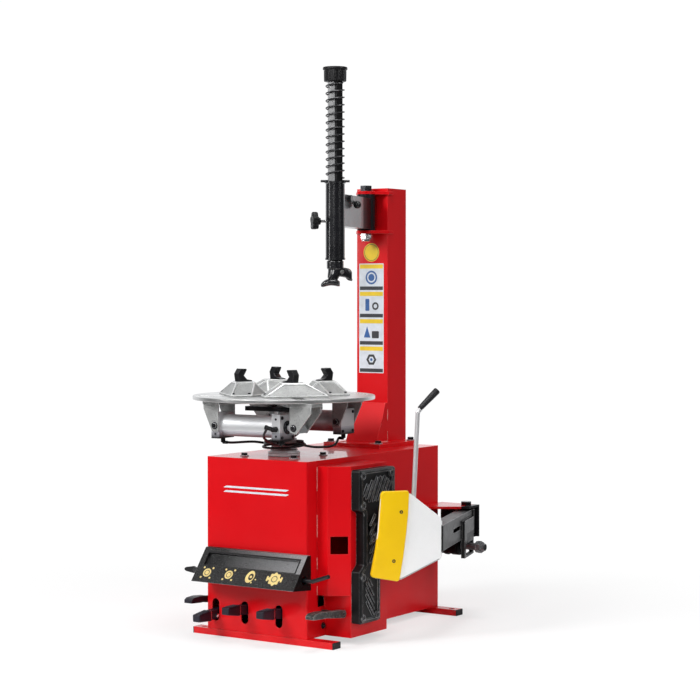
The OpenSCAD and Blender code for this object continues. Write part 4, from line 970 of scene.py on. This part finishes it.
def mark(bm, outline, place, low=0.05, thick=0.35):
    add_prism(bm, outline, low, low + thick, place)


def ring_mark(bm, outer, inner, place, low=0.05, thick=0.35):
    rings = [[place @ Vector((*p, h)) for p in line] for line, h in ((outer, low), (outer, low + thick),
        (inner, low + thick), (inner, low), (outer, low))]
    add_loft(bm, rings, caps=False)
    bmesh.ops.remove_doubles(bm, verts=bm.verts, dist=1e-4)


def tray_icons():
    bm = bmesh.new()
    for x in (-134.5, -50.4):
        place = on_slope(x, 89)
        ring_mark(bm, circle(14.5, 40), circle(9.5, 40), place)
        mark(bm, circle(7.2, 32), place)
        for a in (45, 135, 225, 315):
            mark(bm, circle(3.4, 20, (24.2 * cos(radians(a)), 24.2 * sin(radians(a)))), place)
    place = on_slope(31, 88.5)
    tyre = [(x * 0.78 + y * 0.10, y * 1.05) for x, y in circle(20, 48)]
    hole = [(x * 0.46 + 3.2, y * 0.58) for x, y in circle(20, 48)]
    ring_mark(bm, tyre, hole, place)
    mark(bm, circle(4.4, 24, (3.2, 0)), place)
    for a in (-62, -20):
        mark(bm, circle(2.6, 16, (25 * cos(radians(a)), 22 * sin(radians(a)))), place)
    place = on_slope(122, 88)
    ring_mark(bm, circle(21, 96, lobes=8, depth=2.2), circle(11, 96), place)
    mark(bm, circle(8.4, 32), place)
    for s in (-1, 1):
        mark(bm, rounded([(s * 23, -9), (s * 29, -8), (s * 29, 8), (s * 23, 9)], 2, 3), place)
    piece("tray_function_marks", bm, CREAM_INK, "machine", 0, 1, ())
    # A thin black line round the recess: a painted shadow of its wall.
    bm = bmesh.new()
    ring_mark(bm, [(-163, -12.5), (190, -12.5), (190, -64), (-163, -64)],
        [(-161, -18), (185, -18), (185, -62.2), (-161, -62.2)], SLOPE_PLACE)
    piece("tray_recess_painted_shadow_line", bm, PLASTIC, "machine", 0, 1, ())


def column_panel():
    """Plain printed panel with simple shapes on the column's front face."""
    face = frame_at((-3, 505, 0), *FRONT)
    inks = {"white": WHITE_INK, "yellow": YELLOW_INK, "blue": BLUE_INK, "dark": DARK_INK}
    sheets = {key: bmesh.new() for key in inks}

    def rect(x0, y0, x1, y1):
        return [(x0, y0), (x1, y0), (x1, y1), (x0, y1)]

    def printed(key, outline, hole=None, low=0.36, thick=0.15):
        if hole:
            ring_mark(sheets[key], outline, hole, face, low, thick)
        else:
            mark(sheets[key], outline, face, low, thick)

    printed("white", rounded(rect(-49, 802, 49, 1169), 3, 3), None, 0.05, 0.30)
    cell = 367 / 4
    for k in range(4):
        top = 1169 - cell * k
        printed("yellow", rect(-46, top - 17, 46, top - 3))
        printed("dark", rect(-46, top - cell + 3, 46, top - cell + 15))
        mid = top - cell / 2 - 1
        if k == 0:
            printed("blue", circle(23, 48, (0, mid)), circle(17, 48, (0, mid)))
            printed("blue", circle(12, 40, (0, mid)))
        elif k == 1:
            printed("blue", rounded(rect(-24, mid - 20, -8, mid + 20), 3, 3))
            printed("dark", circle(13, 40, (16, mid - 4)), circle(7, 40, (16, mid - 4)))
        elif k == 2:
            printed("dark", rounded(rect(2, mid - 20, 30, mid + 4), 3, 3))
            printed("blue", [(-30, mid - 18), (-4, mid - 18), (-17, mid + 20)])
        else:
            printed("dark", circle(20, 6, (0, mid)), circle(11, 6, (0, mid)))
            printed("blue", circle(5, 24, (0, mid)))
    printed("yellow", circle(31, 56, (0, 1206)), None, 0.05, 0.30)
    printed("dark", circle(28, 56, (0, 1206)), circle(26.4, 56, (0, 1206)), 0.36, 0.12)
    for key, mat in inks.items():
        piece(f"column_panel_{key}", sheets[key], mat, "machine", 0, 1, ())


def front_stripe():
    """Two plain tapered bars on the cabinet front."""
    face = frame_at((0, -148, 0), *FRONT)
    bm = bmesh.new()
    half, tall, lean = 128, 6, 14
    for z in (469, 455):
        low, high = z - tall / 2, z + tall / 2
        line = [(-half, low), (half - lean, low), (half, high), (lean - half, high)]
        mark(bm, rounded(line, 1.5, 3), face, 0.05, 0.30)
    piece("front_stripe", bm, WHITE_INK, "machine", 0, 1, ())


tray_icons()
column_panel()
front_stripe()


# ---------- Welds, screws and pedal trim ----------

def blob(bm, place, rng, size):
    """One irregular weld spot."""
    spot = bmesh.ops.create_icosphere(bm, subdivisions=2, radius=1)["verts"]
    shape = Matrix.Diagonal((size * rng.uniform(0.8, 1.2), size * rng.uniform(0.7, 1.1),
        size * rng.uniform(1, 1.9), 1))
    for v in spot:
        v.co *= 1 + 0.18 * noise.noise(v.co * 1.7 + place.translation * 0.1)
        v.co = place @ shape @ v.co


def welds():
    rng = random.Random(7)
    bm = bmesh.new()
    for low, high in ((470, 541), (330, 395), (232, 262), (152, 178)):
        z = low
        while z < high:
            blob(bm, moved(192, -94 + rng.uniform(-0.4, 0.4), z), rng, 2.3)
            z += rng.uniform(3.6, 6)
    for x in (-61, 61):
        z = 578
        while z < 690:
            if int(z / 34) % 2:
                blob(bm, moved(x * 1.004, 504.6, z), rng, 2.2)
            z += rng.uniform(3.8, 6)
    for y0, y1 in ((400, 440), (470, 500)):
        y = y0
        while y < y1:
            for x in (-62, 62):
                blob(bm, moved(x, y, 574.6) @ Matrix.Rotation(pi / 2, 4, "X"), rng, 2.3)
            y += rng.uniform(4, 6)
    piece("weld_beads", bm, WELD, "machine", 0, 1, ())


def cabinet_screws():
    """Screws of the service panel and the back, and one bolt low on the right side."""
    bm = bmesh.new()
    for y, z in [(y, z) for y in (-32, 230, 492) for z in (78, 512)] + [(-32, 295), (492, 295)]:
        add_bolt(bm, frame_at((-193.5, y, z), (0, 1, 0), (-1, 0, 0)), 5.2, 3.6, 1.7)
    add_bolt(bm, frame_at((191.5, -62, 52), *RIGHT), 7, 5, 1.5)
    for x in (-150, 150):
        for z in (480, 120):
            add_cap_screw(bm, frame_at((x, 620, z), (1, 0, 0), (0, 1, 0)), 5, 3)
    piece("cabinet_screws", bm, FASTENER, "machine", 0.25, 1, ())


def pedal_trim():
    """Rubber pads, rings and the end screw of the three front pedals."""
    for number, x, tilt in ((1, -157, -4.5), (2, -44, 1.7), (3, 86.5, 1.7)):
        place = moved(x, 60, 84) @ Matrix.Rotation(radians(-tilt), 4, "X")
        bm = bmesh.new()
        rings = []
        for y, w, low, high in ((-249, 12, -11.6, 18.2), (-251, 13.9, -13.4, 20), (-254, 14.3, -13.4, 20),
                (-302, 14, -6.6, 17.6), (-306.5, 13.4, -5.6, 16.8), (-308.5, 11, -3.4, 14.6)):
            line = rounded([(-w, low), (w, low), (w, high), (-w, high)], 5, 5)
            rings.append([place @ Vector((px, y, pz)) for px, pz in line])
        add_loft(bm, rings)
        for k in range(5):
            y = -258 - 9 * k
            high = 20 - 2.4 * (-y - 254) / 48
            add_box(bm, (-10.5, y - 1.7, high - 1), (10.5, y + 1.7, high + 1.2), place)
        name = f"pedal_{number}"
        piece(f"{name}_pad", bm, PEDAL, name, 0.5, 2, ())
        bm = bmesh.new()
        rings = []
        for y, grow in ((-243.5, 0), (-243.9, 1), (-247.2, 1), (-247.6, 0)):
            line = rounded([(-11 - grow, -11 - grow), (11 + grow, -11 - grow), (11 + grow, 17.4 + grow),
                (-11 - grow, 17.4 + grow)], 4, 4)
            rings.append([place @ Vector((px, y, pz)) for px, pz in line])
        add_loft(bm, rings)
        piece(f"{name}_ring", bm, STEEL, name, 0, 1, ())
    bm = bmesh.new()
    place = moved(-157, 60, 84) @ Matrix.Rotation(radians(4.5), 4, "X")
    side = place @ frame_at((11, -217, -3), *RIGHT)
    add_lathe(bm, [(6.4, 0), (6.4, 4), (5.4, 5), (3, 5), (2.6, 3.4)], side, 28)
    piece("pedal_1_stop_screw", bm, CHROME, "pedal_1", 0.2, 1, ())


welds()
cabinet_screws()
pedal_trim()


# ---------- Stage, light and camera ----------

def stage():
    """Pale floor under the machine that fades into the plain white background."""
    mesh = bpy.data.meshes.new("studio_floor")
    reach = 14
    mesh.from_pydata([(x, y, -0.0005) for x, y in ((-reach, -reach), (reach, -reach), (reach, reach),
        (-reach, reach))], [], [(0, 1, 2, 3)])
    floor = bpy.data.objects.new("studio_floor", mesh)
    scene.collection.objects.link(floor)
    s = Shader.material("pale_studio_floor")
    tone = s.mix(s.span(s.noise(1.5), 0.3, 0.7, 0, 1), (0.93, 0.93, 0.93), (0.95, 0.95, 0.95))
    s.put(s.bsdf.inputs["Base Color"], tone)
    s.put(s.bsdf.inputs["Roughness"], 0.9)
    s.put(s.bsdf.inputs["Specular IOR Level"], 0.1)
    glow = s.node("ShaderNodeEmission", {"Color": (1, 1, 1, 1), "Strength": 1.02}).outputs[0]
    clear = s.node("ShaderNodeBsdfTransparent").outputs[0]
    seen = s.node("ShaderNodeLightPath").outputs["Is Camera Ray"]
    away = s.node("ShaderNodeVectorMath", {0: s.coords}, operation="LENGTH").outputs["Value"]
    near = s.node("ShaderNodeMixShader", {0: s.math("MULTIPLY", seen, 0.55), 1: s.bsdf.outputs[0],
        2: glow}).outputs[0]
    far = s.node("ShaderNodeMixShader", {0: seen, 1: clear, 2: glow}).outputs[0]
    made = s.node("ShaderNodeMixShader", {0: s.span(away, 0.9, 2, 0, 1), 1: near, 2: far}).outputs[0]
    s.tree.links.new(made, s.tree.nodes["Material Output"].inputs["Surface"])
    mesh.materials.append(s.mat)


def light(name, place, target, size, power, size_y=None):
    data = bpy.data.lights.new(name, "AREA")
    data.shape, data.size, data.size_y, data.energy = "RECTANGLE", size, size_y or size, power
    obj = bpy.data.objects.new(name, data)
    obj.location = place
    obj.rotation_euler = (Vector(target) - Vector(place)).to_track_quat("-Z", "Y").to_euler()
    scene.collection.objects.link(obj)


def world():
    """Plain white to the eye; in reflections dark in front and bright behind and above."""
    made = scene.world = bpy.data.worlds.new("studio")
    made.use_nodes = True
    made.node_tree.nodes.clear()
    s = Shader(made, "Generated")
    along = s.node("ShaderNodeVectorMath", {0: s.coords, 1: (-0.588, 0.809, 0)}, operation="DOT_PRODUCT")
    height = s.node("ShaderNodeSeparateXYZ", {0: s.coords}).outputs[2]
    front_glow, back_glow, top_glow = 0.05, 1.1, 0.30
    behind = s.span(along.outputs["Value"], 0.36, 0.80, front_glow, back_glow)
    level = s.math("MAXIMUM", behind, s.span(height, 0.10, 0.55, 0, top_glow))
    soft = s.node("ShaderNodeBackground", {0: (0.97, 0.98, 1, 1), 1: level})
    plain = s.node("ShaderNodeBackground", {0: (1, 1, 1, 1), 1: 1.02})
    seen = s.node("ShaderNodeLightPath").outputs["Is Camera Ray"]
    pick = s.node("ShaderNodeMixShader", {0: seen, 1: soft.outputs[0], 2: plain.outputs[0]})
    s.node("ShaderNodeOutputWorld", {0: pick.outputs[0]})


def camera():
    data = bpy.data.cameras.new("camera")
    data.sensor_width, data.lens = 36, 98.4
    data.clip_start, data.clip_end = 0.05, 100
    cam = bpy.data.objects.new("camera", data)
    cam.location = (3.5133, -4.8626, 1.0751)
    cam.rotation_euler = (radians(90 - 1.75), 0, radians(33.87))
    scene.collection.objects.link(cam)
    scene.camera = cam


stage()
world()
camera()
light("key", (-1.8, -4.6, 3.9), (0, 0.1, 0.7), 1.8, 215)
light("front_fill", (1.6, -5, 2.9), (0, 0, 0.7), 1.4, 75)
light("strip", (-2.4, -2.9, 1.5), (0, 0.1, 1.2), 0.22, 12, size_y=1.4)
light("right_rim", (4.8, 0.2, 2.9), (0.1, 0.3, 0.8), 1.2, 62)
light("top", (0.9, -0.3, 4.6), (0, 0, 0.6), 1.4, 60)
scene.view_settings.view_transform = "Standard"
